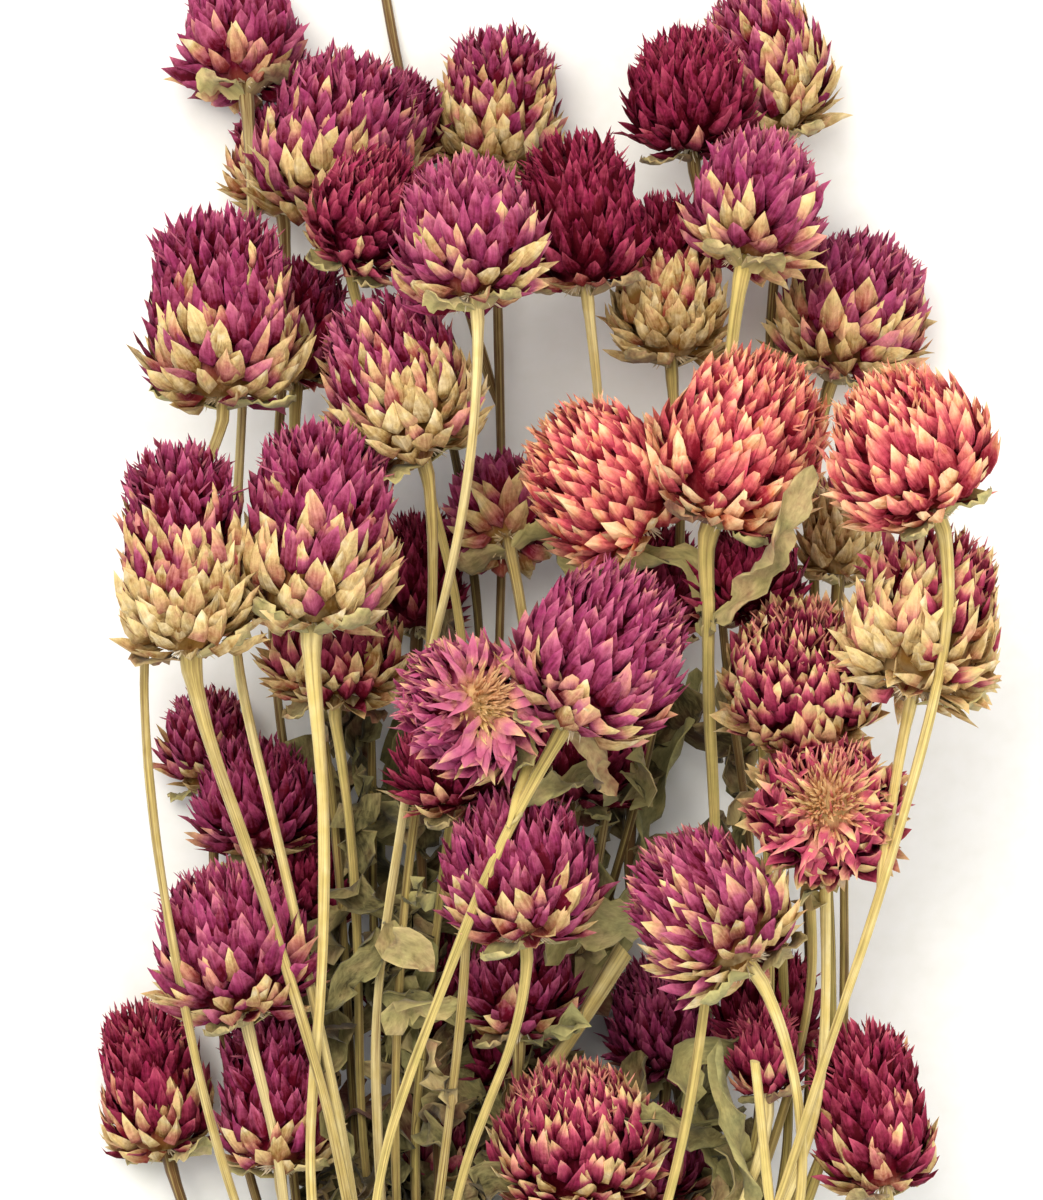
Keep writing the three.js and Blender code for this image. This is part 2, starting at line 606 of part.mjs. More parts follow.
function bentBar(points, profile, flatness = 1) {
  const last = points.length - 1;
  const outline = [new THREE.Vector2(0, 0)];
  for (let row = 0; row <= last; row++)
    outline.push(new THREE.Vector2(radiusAt(profile, row / last), row));
  outline.push(new THREE.Vector2(0, last));
  const frames = points.map((point, i) => {
    const way = points[Math.min(i + 1, last)].clone().sub(points[Math.max(i - 1, 0)]).normalize();
    const side = way.clone().cross(UPRIGHT).normalize();
    return { point, side, top: side.clone().cross(way) };
  });
  const bar = new THREE.LatheGeometry(outline, STEM_SIDES);
  const position = bar.getAttribute("position");
  for (let i = 0; i < position.count; i++) {
    const { point, side, top } = frames[Math.round(position.getY(i))];
    const moved = point
      .clone()
      .addScaledVector(side, position.getX(i))
      .addScaledVector(top, position.getZ(i) * flatness);
    position.setXYZ(i, moved.x, moved.y, moved.z);
  }
  return bar;
}

function solidFrom(geometry) {
  const bare = geometry.clone();
  bare.deleteAttribute("normal");
  bare.deleteAttribute("uv");
  const merged = mergeVertices(bare, 1e-4);
  return new wasm.Manifold(
    new wasm.Mesh({
      numProp: 3,
      vertProperties: merged.getAttribute("position").array,
      triVerts: new Uint32Array(merged.getIndex().array),
    }),
  );
}

function geometryFrom(solid) {
  const mesh = solid.getMesh();
  const geometry = new THREE.BufferGeometry();
  geometry.setAttribute("position", new THREE.BufferAttribute(mesh.vertProperties, 3));
  geometry.setIndex(new THREE.BufferAttribute(mesh.triVerts, 1));
  geometry.computeVertexNormals();
  return geometry;
}

const PROFILES = {
  main: [[TOP_RADIUS, 0], [FOOT_RADIUS, 1]],
  side: [[SIDE_RADIUS, 0], [SIDE_RADIUS, 1]],
  leaf: [[0.5, 0], [1.6, 0.2], [LEAF_RADIUS, 0.5], [1.7, 0.75], [0.9, 1]],
};

function strandSolid({ points, isMain, isLeaf }) {
  if (isMain) return solidFrom(bentBar(points, PROFILES.main));
  if (isLeaf) return solidFrom(bentBar(points, PROFILES.leaf, LEAF_FLATNESS));
  return solidFrom(bentBar(points, PROFILES.side));
}

const COLOURS = {
  stem: new THREE.MeshStandardMaterial({ color: 0xc8ae62, roughness: 0.7, metalness: 0 }),
  twine: new THREE.MeshStandardMaterial({ color: 0xb08d57, roughness: 0.9, metalness: 0 }),
  purple: new THREE.MeshStandardMaterial({ color: 0x8e3a6b, roughness: 0.8, metalness: 0 }),
  crimson: new THREE.MeshStandardMaterial({ color: 0x9a2548, roughness: 0.8, metalness: 0 }),
  salmon: new THREE.MeshStandardMaterial({ color: 0xcf6068, roughness: 0.8, metalness: 0 }),
};
const CRIMSON_HEADS = ["04", "08", "09", "12", "24", "25", "27", "28", "29", "32", "33", "40", "41",
  "42", "43", "44", "46"];
const SALMON_HEADS = ["20", "21", "22"];

function headColour(id) {
  if (SALMON_HEADS.includes(id)) return COLOURS.salmon;
  return CRIMSON_HEADS.includes(id) ? COLOURS.crimson : COLOURS.purple;
}

// A flower head is a blunt egg, widest a little under its middle
const HEAD_ROWS = 6;
const HEAD_BELLY = 0.12; // how much fuller the lower half is

function headMesh(head) {
  const outline = [];
  for (let row = 0; row <= HEAD_ROWS; row++) {
    const angle = Math.PI * (row / HEAD_ROWS - 0.5);
    const fullness = 1 - HEAD_BELLY * Math.max(0, Math.sin(angle)) ** 2;
    const isPole = row === 0 || row === HEAD_ROWS;
    const radius = isPole ? 0 : head.radius * Math.cos(angle) ** 0.8 * fullness;
    outline.push(new THREE.Vector2(radius, head.halfLength * Math.sin(angle)));
  }
  const mesh = new THREE.Mesh(new THREE.LatheGeometry(outline, HEAD_SIDES), headColour(head.item.id));
  mesh.name = "flower_head_" + head.item.id;
  mesh.position.copy(head.centre);
  mesh.quaternion.setFromUnitVectors(new THREE.Vector3(0, 1, 0), head.aim);
  return mesh;
}

function stalkMesh(stalk) {
  const own = [...strands.values()].filter((strand) => strand.stalk === stalk);
  const joined = own.map(strandSolid).reduce((sum, solid) => sum.add(solid));
  const mesh = new THREE.Mesh(geometryFrom(joined), COLOURS.stem);
  mesh.name = "stalk_" + String(stalk).padStart(2, "0");
  return mesh;
}

// The twine is a band of a few turns, a little thinner at both edges
const TIE_SIDES = 24;
const TIE_BEVEL = 0.5;

function tieMesh() {
  const outer = BUNDLE_RADIUS + TWINE;
  const outline = [
    [BUNDLE_RADIUS, -TIE_HALF_HEIGHT],
    [outer - TIE_BEVEL, -TIE_HALF_HEIGHT],
    [outer, -TIE_HALF_HEIGHT + TIE_BEVEL],
    [outer, TIE_HALF_HEIGHT - TIE_BEVEL],
    [outer - TIE_BEVEL, TIE_HALF_HEIGHT],
    [BUNDLE_RADIUS, TIE_HALF_HEIGHT],
    [BUNDLE_RADIUS, -TIE_HALF_HEIGHT],
  ].map(([radius, along]) => new THREE.Vector2(radius, along));
  const mesh = new THREE.Mesh(new THREE.LatheGeometry(outline, TIE_SIDES), COLOURS.twine);
  mesh.name = "twine_tie";
  mesh.position.set(TIE_AT[0] * SQUARE, TIE_AT[1] * SQUARE, TIE_HEIGHT);
  return mesh;
}

const bunch = new THREE.Group();
for (const head of heads) bunch.add(headMesh(head));
for (const stalk of Object.keys(SLOTS)) bunch.add(stalkMesh(Number(stalk)));
bunch.add(tieMesh());

// The bunch is brought over the origin
const box = new THREE.Box3().setFromObject(bunch, true);
const middle = box.getCenter(new THREE.Vector3());
bunch.position.set(-middle.x, -middle.y, -box.min.z);

export default bunch;
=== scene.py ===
"""Dried globe amaranth, a hand-tied bunch that lies on its side and is seen from straight above.

Lengths are in millimetres until a mesh is filled. The bunch lies along Y with its heads up the page,
X is across it, and Z is the height above the surface that it lies on.
"""
import json
import logging
import math
from dataclasses import dataclass
from enum import Enum

import bpy
import numpy as np
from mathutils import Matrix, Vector

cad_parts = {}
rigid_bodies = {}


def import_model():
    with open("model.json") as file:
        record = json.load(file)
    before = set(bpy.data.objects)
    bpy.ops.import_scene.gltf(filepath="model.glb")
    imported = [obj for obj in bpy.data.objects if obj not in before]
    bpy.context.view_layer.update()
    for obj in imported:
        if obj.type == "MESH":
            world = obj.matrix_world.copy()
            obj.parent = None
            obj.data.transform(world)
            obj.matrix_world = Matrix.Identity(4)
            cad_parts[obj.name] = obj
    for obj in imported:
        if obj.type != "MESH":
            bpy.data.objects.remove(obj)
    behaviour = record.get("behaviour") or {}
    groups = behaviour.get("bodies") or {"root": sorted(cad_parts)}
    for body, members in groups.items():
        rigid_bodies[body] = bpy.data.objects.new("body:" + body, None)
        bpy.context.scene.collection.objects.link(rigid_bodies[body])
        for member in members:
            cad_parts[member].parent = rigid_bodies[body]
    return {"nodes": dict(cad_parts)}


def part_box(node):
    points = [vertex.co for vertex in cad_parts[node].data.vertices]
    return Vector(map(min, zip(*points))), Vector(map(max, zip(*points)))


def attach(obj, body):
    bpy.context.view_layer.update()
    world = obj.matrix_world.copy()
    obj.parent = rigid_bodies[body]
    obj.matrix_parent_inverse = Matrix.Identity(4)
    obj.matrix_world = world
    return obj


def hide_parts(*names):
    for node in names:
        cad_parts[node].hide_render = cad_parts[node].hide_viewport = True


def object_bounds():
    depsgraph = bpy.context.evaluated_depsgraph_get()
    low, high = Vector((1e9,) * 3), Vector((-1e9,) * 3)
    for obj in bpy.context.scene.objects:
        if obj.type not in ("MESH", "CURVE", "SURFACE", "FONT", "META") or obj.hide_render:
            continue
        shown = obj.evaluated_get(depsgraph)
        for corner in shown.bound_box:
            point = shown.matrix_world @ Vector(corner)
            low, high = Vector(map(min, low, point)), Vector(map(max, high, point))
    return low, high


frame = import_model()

CAD_BOX = [list(corner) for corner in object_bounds()]
log = logging.getLogger("amaranth")

Array = np.ndarray
Tree = bpy.types.NodeTree
Socket = bpy.types.NodeSocket
MM = 0.001
FULL_TURN = 2 * math.pi
GOLDEN_ANGLE = math.pi * (3 - math.sqrt(5))
UP = np.array([0.0, 0.0, 1.0])
LEAST_HEIGHT = 0.05  # of the lowest points over the surface
OVERHANG = 0.026  # share of its half size by which shapes may stand out of the CAD box
BORDER = 6.0  # width inside that limit in which they are drawn back
SHARP_ANGLE = math.radians(75)


# Small helpers


def linear(hexa: str) -> tuple[float, float, float, float]:
    """Turns an sRGB hex colour to linear light.

    Args:
        hexa: six hex digits.

    Returns:
        Red, green, blue and an alpha of one.
    """
    parts = [int(hexa[i : i + 2], 16) / 255 for i in (0, 2, 4)]
    lit = [c / 12.92 if c <= 0.04045 else ((c + 0.055) / 1.055) ** 2.4 for c in parts]
    return lit[0], lit[1], lit[2], 1.0


def placed(name: str, data: bpy.types.ID) -> bpy.types.Object:
    """Puts data into the scene as an object.

    Args:
        name: the object's name.
        data: its mesh, lamp or camera.

    Returns:
        The object.
    """
    made = bpy.data.objects.new(name, data)
    bpy.context.scene.collection.objects.link(made)
    return made


def blank(name: str) -> bpy.types.Material:
    """Starts a material.

    Args:
        name: its name.

    Returns:
        The material, with an empty node tree.
    """
    made = bpy.data.materials.new(name)
    made.use_nodes = True
    made.node_tree.nodes.clear()
    return made


def add(
    tree: Tree, kind: str, links: dict | None = None, stops: list | None = None, out: int | str = 0,
    **settings,
) -> Socket | None:
    """Adds one node to a tree, with its settings, its inputs and the colour stops of a ramp.

    Args:
        tree: the material's node tree.
        kind: the node's type, without the word ShaderNode that starts it.
        links: input name or number to a value, or to another node's output.
        stops: (place, hex colour) of a colour ramp.
        out: name or number of the output that is wanted.
        settings: the node's own settings.

    Returns:
        That output, or None where the node has no output.
    """
    made = tree.nodes.new("ShaderNode" + kind)
    for name, value in settings.items():
        setattr(made, name, value)
    for key, value in (links or {}).items():
        if isinstance(value, Socket):
            tree.links.new(value, made.inputs[key])
        else:
            made.inputs[key].default_value = value
    if stops:
        ramp = made.color_ramp.elements
        while len(ramp) < len(stops):
            ramp.new(1.0)
        for stop, (place, colour) in zip(ramp, stops):
            stop.position = place
            stop.color = linear(colour)
    return made.outputs[out] if made.outputs else None


def unit(vectors: Array) -> Array:
    """Scales vectors to length one along the last axis."""
    return vectors / np.maximum(np.linalg.norm(vectors, axis=-1, keepdims=True), 1e-9)


def turned(first: Array, second: Array, angle: Array | float) -> Array:
    """Turns a first direction by angles towards a second one that is square to it."""
    angle = np.asarray(angle)[..., None]
    return np.cos(angle) * first + np.sin(angle) * second


def eased(value: Array, low: float, high: float) -> Array:
    """Rises smoothly from 0 at low to 1 at high, as 3t squared less 2t cubed."""
    t = np.clip((value - low) / (high - low), 0, 1)
    return t * t * (3 - 2 * t)


def bell(value: Array, height: float, place: float, width: float) -> Array:
    """One plus a bell curve of a height and width about a place."""
    return 1 + height * np.exp(-(((value - place) / width) ** 2))


def distances(line: Array) -> Array:
    """How far along a line each of its points lies."""
    return np.concatenate([[0], np.cumsum(np.linalg.norm(np.diff(line, axis=0), axis=1))])


@dataclass
class Skin:
    """Part of a mesh: points in millimetres, faces, and one value of each attribute for each point."""

    points: Array
    quads: Array
    tris: Array
    fade: Array
    tone: Array
    grain: Array
    finish: int = 0


def shells(rings: Array, ends: Array) -> tuple[Array, Array, Array]:
    """Closes rings of points into shells, one for each first index.

    Quad (s, k) joins points k and k + 1 of ring s to those of ring s + 1, and a fan of triangles joins
    the first ring to the first end point and the last ring to the last. Rings run anticlockwise about
    the direction in which s rises, so the faces point outwards.

    Args:
        rings: (n, s, k, 3) points.
        ends: (n, 2, 3) points.

    Returns:
        Points, quads and triangles.
    """
    n, s, k, _ = rings.shape
    each = s * k + 2
    points = np.concatenate([rings.reshape(n, s * k, 3), ends], axis=1).reshape(-1, 3)
    row, column = np.meshgrid(np.arange(s - 1), np.arange(k), indexing="ij")
    beside = (column + 1) % k
    corners = [row * k + column, row * k + beside, (row + 1) * k + beside, (row + 1) * k + column]
    quad = np.stack(corners, -1).reshape(-1, 4)
    a = np.arange(k)
    b = (a + 1) % k
    first = np.stack([np.full(k, s * k), b, a], -1)
    last = np.stack([np.full(k, s * k + 1), (s - 1) * k + a, (s - 1) * k + b], -1)
    start = (np.arange(n) * each)[:, None, None]
    quads = (quad[None] + start).reshape(-1, 4)
    tris = (np.concatenate([first, last])[None] + start).reshape(-1, 3)
    return points, quads, tris


def swept(line: Array, offsets: Array, fade: Array, tone: Array, grain: tuple, finish: int = 0) -> Skin:
    """Closes a shell round each middle line and lays its values over the points.

    The line's ends are the shell's end points, which take the values of their ring's first point,
    apart from the grain across the fibres, which is 0 on the middle line.

    Args:
        line: (n, s, 3) middle lines.
        offsets: (n, s, k, 3) ways from a line to the points of its rings.
        fade: colour. This, tone and grain are numbers or arrays that fit (n, s, k).
        tone: how light.
        grain: three coordinates, across the fibres, along them and from piece to piece.
        finish: number of the material.

    Returns:
        The skin.
    """
    points, quads, tris = shells(line[:, 1:-1, None] + offsets[:, 1:-1], line[:, [0, -1]])
    values = np.stack([np.broadcast_to(value, offsets.shape[:3]) for value in (fade, tone, *grain)], -1)
    values[:, [0, -1], :, 2] = 0.0
    body = values[:, 1:-1].reshape(len(values), -1, 5)
    laid = np.concatenate([body, values[:, [0, -1], 0]], axis=1).reshape(-1, 5)
    return Skin(points, quads, tris, laid[:, 0], laid[:, 1], laid[:, 2:], finish)


def kept_close(points: Array) -> Array:
    """Draws points back that would stand out of the CAD box by more than a little.

    Past a border BORDER wide, a distance d into it becomes d over the fourth root of 1 plus (d over
    BORDER) to the fourth, so that nothing passes the border's outer edge.

    Args:
        points: (n, 3) points in millimetres.

    Returns:
        The points, moved where they were too far out.
    """
    low, high = np.array(CAD_BOX) / MM
    middle, half = (low + high) / 2, (high - low) / 2
    inner = half * (1 + OVERHANG) - BORDER
    away = points - middle
    over = np.maximum(np.abs(away) - inner, 0)
    drawn = over / (1 + (over / BORDER) ** 4) ** 0.25
    return middle + np.sign(away) * (np.abs(away) - over + drawn)


def piece(name: str, skins: list[Skin], finishes: list, nodes: list[str]) -> bpy.types.Object:
    """Fills one mesh piece from skins, rides it on the bunch and lets it stand for its CAD nodes.

    Args:
        name: the piece's name.
        skins: parts of its mesh, in millimetres.
        finishes: materials, which a skin's finish number picks from.
        nodes: CAD nodes that it stands for.

    Returns:
        The new object.
    """
    offsets = np.cumsum([0] + [len(s.points) for s in skins])
    points = kept_close(np.concatenate([s.points for s in skins])) * MM
    points[:, 2] = np.maximum(points[:, 2], LEAST_HEIGHT * MM)
    quads = np.concatenate([s.quads + o for s, o in zip(skins, offsets)])
    tris = np.concatenate([s.tris + o for s, o in zip(skins, offsets)])
    corners = np.concatenate([quads.ravel(), tris.ravel()])
    counts = [len(s.quads) for s in skins] + [len(s.tris) for s in skins]
    picks = np.repeat([s.finish for s in skins] * 2, counts)
    starts = np.concatenate([np.arange(len(quads)) * 4, quads.size + np.arange(len(tris)) * 3])
    mesh = bpy.data.meshes.new(name)
    mesh.vertices.add(len(points))
    mesh.vertices.foreach_set("co", points.astype(np.float32).ravel())
    mesh.loops.add(corners.size)
    mesh.loops.foreach_set("vertex_index", corners.astype(np.int32))
    mesh.polygons.add(starts.size)
    mesh.polygons.foreach_set("loop_start", starts.astype(np.int32))
    mesh.polygons.foreach_set("material_index", picks.astype(np.int32))
    mesh.update(calc_edges=True)
    scalar, vector = ("FLOAT", "value"), ("FLOAT_VECTOR", "vector")
    for label, (kind, field) in (("fade", scalar), ("tone", scalar), ("grain", vector)):
        layer = mesh.attributes.new(label, kind, "POINT")
        values = np.concatenate([getattr(s, label) for s in skins])
        layer.data.foreach_set(field, values.astype(np.float32).ravel())
    mesh.shade_smooth()
    mesh.set_sharp_from_angle(angle=SHARP_ANGLE)
    for finish in finishes:
        mesh.materials.append(finish)
    made = placed(name, mesh)
    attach(made, "root")
    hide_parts(*nodes)
    total = 2 * len(quads) + len(tris)
    log.info("%s: %d triangles, stands for %s", name, total, ", ".join(nodes) or "no node")
    return made


# Reading the CAD nodes


@dataclass
class Welded:
    """A CAD node's mesh with its loose triangles joined, in millimetres."""

    points: Array
    edges: Array

    @staticmethod
    def read(node: str) -> "Welded":
        """Joins the corners of a node's triangles that lie in one place.

        Args:
            node: the CAD node's name.

        Returns:
            Its points and its edges, each edge once.
        """
        mesh = frame["nodes"][node].data
        raw = np.zeros((len(mesh.vertices), 3), np.float32)
        mesh.vertices.foreach_get("co", raw.ravel())
        raw = raw.astype(float)
        ends = np.zeros(len(mesh.edges) * 2, np.int32)
        mesh.edges.foreach_get("vertices", ends)
        microns = np.round(raw * 1e6).astype(np.int64)
        _, first, place = np.unique(microns, axis=0, return_index=True, return_inverse=True)
        edges = np.unique(np.sort(place.ravel()[ends].reshape(-1, 2), axis=1), axis=0)
        return Welded(raw[first] / MM, edges[edges[:, 0] != edges[:, 1]])


@dataclass
class Route:
    """The middle line of one stem, side stem or leaf, from its far end down to where it joins."""

    line: Array
    joined: bool


@dataclass
class Skeleton:
    """The rings that a stalk's CAD node is made of, as a tree of ring centres rooted at the foot."""

    centres: Array
    sizes: Array
    parent: list[int]
    ends: list[int]

    SHORT_EDGE = 3.0
    LOOSE_RING = 6
    CLEAN_RING = 7

    @staticmethod
    def read(node: str) -> "Skeleton":
        """Groups a stalk's points into rings and finds the way from each ring to the foot.

        Points joined by edges shorter than SHORT_EDGE are one ring. Longer edges join rings. The foot
        is the loose end with the lowest y, and each ring's parent is its next ring on the shortest way
        to the foot.

        Args:
            node: the stalk's CAD node.

        Returns:
            The tree, with its loose ends other than the foot.
        """
        solid = Welded.read(node)
        a, b = solid.edges.T
        short = solid.edges[np.linalg.norm(solid.points[a] - solid.points[b], axis=1) < Skeleton.SHORT_EDGE]
        label = np.arange(len(solid.points))
        before = None
        while before is None or (label != before).any():
            before = label.copy()
            np.minimum.at(label, short[:, 0], before[short[:, 1]])
            np.minimum.at(label, short[:, 1], before[short[:, 0]])
        _, label = np.unique(label, return_inverse=True)
        sizes = np.bincount(label)
        centres = np.zeros((len(sizes), 3))
        np.add.at(centres, label, solid.points)
        centres /= sizes[:, None]
        links = np.unique(np.sort(label[solid.edges], axis=1), axis=0)
        near = [[] for _ in sizes]
        for a, b in links[links[:, 0] != links[:, 1]].tolist():
            near[a].append(b)
            near[b].append(a)
        loose = [i for i, others in enumerate(near) if len(others) == 1 and sizes[i] == Skeleton.LOOSE_RING]
        foot = min(loose, key=lambda i: centres[i][1])
        far = [math.inf] * len(sizes)
        parent = [-1] * len(sizes)
        far[foot] = 0.0
        waiting = {foot}
        while waiting:
            here = min(waiting, key=lambda i: far[i])
            waiting.remove(here)
            for other in near[here]:
                way = far[here] + float(np.linalg.norm(centres[other] - centres[here]))
                if way < far[other] - 1e-6:
                    far[other] = way
                    parent[other] = here
                    waiting.add(other)
        return Skeleton(centres, sizes, parent, [i for i in loose if i != foot])

    def route(self, end: int, taken: set[int]) -> Route:
        """Follows the rings from a loose end to the foot, or to a ring that another route has taken.

        Forks are left out, since their points belong to several stems.

        Args:
            end: the loose end's number.
            taken: rings that are on routes already. The new ones are added to it.

        Returns:
            The route.
        """
        way = []
        here = end
        while here != -1:
            if self.sizes[here] <= self.CLEAN_RING:
                way.append(self.centres[here])
                if here in taken:
                    return Route(np.array(way), True)
                taken.add(here)
            here = self.parent[here]
        return Route(np.array(way), False)


def flowing(points: Array, step: float) -> tuple[Array, Array]:
    """Runs a smooth curve through points, with even steps.

    Each stretch is a cubic whose end slopes are those of the parabola through the point and its two
    neighbours, measured along the chords.

    Args:
        points: (n, 3) points, n at least 2.
        step: distance between samples.

    Returns:
        Samples and their distances along the chords.
    """
    reach = distances(points)
    at = np.linspace(0, reach[-1], max(int(reach[-1] / step), 3) + 1)
    if len(points) > 2:
        slope = np.gradient(points, reach, axis=0)
    else:
        slope = np.repeat(np.diff(points, axis=0) / reach[-1], 2, 0)
    here = np.clip(np.searchsorted(reach, at, side="right") - 1, 0, len(points) - 2)
    width = (reach[here + 1] - reach[here])[:, None]
    t = (at - reach[here])[:, None] / width
    p, q = points[here], points[here + 1]
    m, n = slope[here] * width, slope[here + 1] * width
    leaving = (2 * t**3 - 3 * t**2 + 1) * p + (t**3 - 2 * t**2 + t) * m
    return leaving + (3 * t**2 - 2 * t**3) * q + (t**3 - t**2) * n, at


def frames_along(curve: Array, up: Array = UP) -> tuple[Array, Array, Array]:
    """Finds the directions along a curve, with the face as near up as it can be.

    Args:
        curve: (n, 3) points.
        up: the way up.

    Returns:
        The unit tangent, side and face directions.
    """
    tangent = unit(np.gradient(curve, axis=0))
    side = unit(np.cross(np.broadcast_to(up, tangent.shape), tangent))
    return tangent, side, np.cross(tangent, side)


# Finishes


@dataclass(frozen=True)
class DriedFinish:
    """Dried plant fibre: matt, ribbed along its length and blotched by drying.

    The eye sees a ground that runs from one colour of each row to the next with the fade attribute,
    darker in the grooves and lighter on the ribs as painted shade and painted light, and a soft bloom.
    The deep row stands for darker tissue and painted shade, the bright row for paler tissue and
    painted light. Scales are waves to the millimetre, coarser than the real fibres, which are too
    fine for this picture.
    """

    name: str
    deep: tuple[str, ...]
    bright: tuple[str, ...]
    places: tuple[float, ...] = (0.0, 0.5, 1.0)
    across: float = 2.6
    along: float = 0.06
    detail: float = 4.0
    rough: float = 0.65
    blotches: tuple[float, float] = (0.3, 3.0)
    patchy: float = 1.3
    # how far the height lightens ribs and darkens grooves, as painted light and shade
    relief_shading: float = 2.0
    bump: float = 0.6
    relief: float = 0.25
    ior: float = 1.45
    specular: float = 0.25
    sheen: float = 0.15

    def height(self, tree: Tree, grain: Socket, fibres: Socket, blotch: Socket) -> Socket:
        """The height of the surface, here that of its fibres alone."""
        return fibres

    def build(self) -> bpy.types.Material:
        """Makes the material.

        The fade attribute, made uneven by blotches, picks a place along both rows of colours. The tone
        attribute, raised by the height on ribs and crumples and lowered in grooves as painted light and
        shade, picks between the deep row and the bright one.

        Returns:
            The material.
        """
        made = blank(self.name)
        tree = made.node_tree
        grain = add(tree, "Attribute", out="Vector", attribute_name="grain")
        fade, tone = (add(tree, "Attribute", out="Fac", attribute_name=label) for label in ("fade", "tone"))
        stretched = add(tree, "Mapping", {"Vector": grain, "Scale": (self.across, self.along, 1.0)})
        fine = {"Vector": stretched, "Scale": 1.0, "Detail": self.detail, "Roughness": self.rough}
        fibres = add(tree, "TexNoise", fine)
        scale, detail = self.blotches
        blotch = add(tree, "TexNoise", {"Vector": grain, "Scale": scale, "Detail": detail})
        height = self.height(tree, grain, fibres, blotch)
        levels = []
        # The height raises the tone on ribs and lowers it in grooves, as painted light and shade.
        for value, noise, much in ((fade, blotch, self.patchy), (tone, height, self.relief_shading)):
            change = add(tree, "Math", {0: noise, 1: much, 2: -much / 2}, operation="MULTIPLY_ADD")
            levels.append(add(tree, "Math", {0: value, 1: change}, operation="ADD", use_clamp=True))
        faded, level = levels
        deep, bright = (
            add(tree, "ValToRGB", {0: faded}, list(zip(self.places, row)))
            for row in (self.deep, self.bright)
        )
        surface = {
            "Base Color": add(tree, "Mix", {0: level, 6: deep, 7: bright}, out=2, data_type="RGBA"),
            "Roughness": 0.7,
            "IOR": self.ior,
            "Specular IOR Level": self.specular,
            "Sheen Weight": self.sheen,
            "Sheen Roughness": 0.5,
            "Normal": add(
                tree, "Bump", {"Height": height, "Strength": self.bump, "Distance": self.relief * MM}
            ),
        }
        add(tree, "OutputMaterial", {"Surface": add(tree, "BsdfPrincipled", surface)})
        return made


@dataclass(frozen=True)
class BractFinish(DriedFinish):
    """Dried papery bracts: thin dead tissue that keeps its dye deep down and bleaches to straw.

    The eye sees a matt, slightly silky scale with fine ridges along it, a saturated dye darkened in
    its folds and crumples as painted shade, and a paler tip and rim where the tissue is thinnest. The
    real ribs are about five to the millimetre, too fine for this picture.
    """

    places: tuple[float, ...] = (0.0, 0.3, 0.55, 0.8, 1.0)
    across: float = 2.2
    along: float = 0.22
    detail: float = 3.0
    rough: float = 0.6
    blotches: tuple[float, float] = (0.35, 2.0)
    patchy: float = 0.5
    relief_shading: float = 1.9
    bump: float = 0.9
    relief: float = 0.45
    ior: float = 1.42
    specular: float = 0.12
    sheen: float = 0.0

    def height(self, tree: Tree, grain: Socket, fibres: Socket, blotch: Socket) -> Socket:
        """The height of the surface, its ribs and a crumpling about as strong.

        Args:
            tree: the material's node tree.
            grain: coordinates across and along the bract.
            fibres: height of the ribs.
            blotch: noise that isn't used here.

        Returns:
            The height.
        """
        crumple = add(tree, "TexNoise", {"Vector": grain, "Scale": 0.8, "Detail": 4.0, "Roughness": 0.65})
        uneven = add(tree, "Math", {0: fibres, 1: crumple}, operation="ADD")
        return add(tree, "Math", {0: uneven, 1: 0.7, 2: -0.2}, operation="MULTIPLY_ADD")


@dataclass(frozen=True)
class LeafFinish(DriedFinish):
    """Dried leaf: matt tissue that has shrunk between its veins.

    The eye sees an olive, straw or russet ground with a raised midrib and slanted veins.
    """

    places: tuple[float, ...] = (0.0, 1 / 3, 2 / 3, 1.0)
    across: float = 1.1
    along: float = 0.35
    relief: float = 0.3
    sheen: float = 0.1
    relief_shading: float = 1.2

    VEINS = 1.9
    SLANT = -1.3
    WANDER = 6.0
    SHARPNESS = 6.0
    MIDRIB = 0.25
    VEIN_HEIGHT = 0.05

    def height(self, tree: Tree, grain: Socket, fibres: Socket, blotch: Socket) -> Socket:
        """The height of the surface, its fibres and a little of its veins.

        A vein stands where the sine of the distance along the leaf, less a share of the distance from
        its middle, to a high power is large, and the midrib where that second distance is small.

        Args:
            tree: the material's node tree.
            grain: coordinates across and along the leaf.
            fibres: height of the fibres.
            blotch: noise that makes the veins wander.

        Returns:
            The height.
        """
        across = add(tree, "SeparateXYZ", {0: grain})
        along = across.node.outputs[1]
        wide = add(tree, "Math", {0: across}, operation="ABSOLUTE")
        uneven = add(tree, "Math", {0: blotch, 1: self.WANDER, 2: along}, operation="MULTIPLY_ADD")
        slanted = add(tree, "Math", {0: wide, 1: self.SLANT, 2: uneven}, operation="MULTIPLY_ADD")
        turns = add(tree, "Math", {0: slanted, 1: self.VEINS}, operation="MULTIPLY")
        wave = add(tree, "Math", {0: turns}, operation="SINE")
        sharp = add(tree, "Math", {0: wave, 1: self.SHARPNESS}, operation="POWER")
        rib = add(tree, "Math", {0: wide, 1: self.MIDRIB}, operation="LESS_THAN")
        lines = add(tree, "Math", {0: sharp, 1: rib}, operation="MAXIMUM")
        return add(tree, "Math", {0: lines, 1: self.VEIN_HEIGHT, 2: fibres}, operation="MULTIPLY_ADD")


class Dye(Enum):
    """The dyes of the bracts, named for the record's slots."""

    PURPLE = "bracts_purple"
    CRIMSON = "bracts_crimson"
    SALMON = "bracts_salmon"


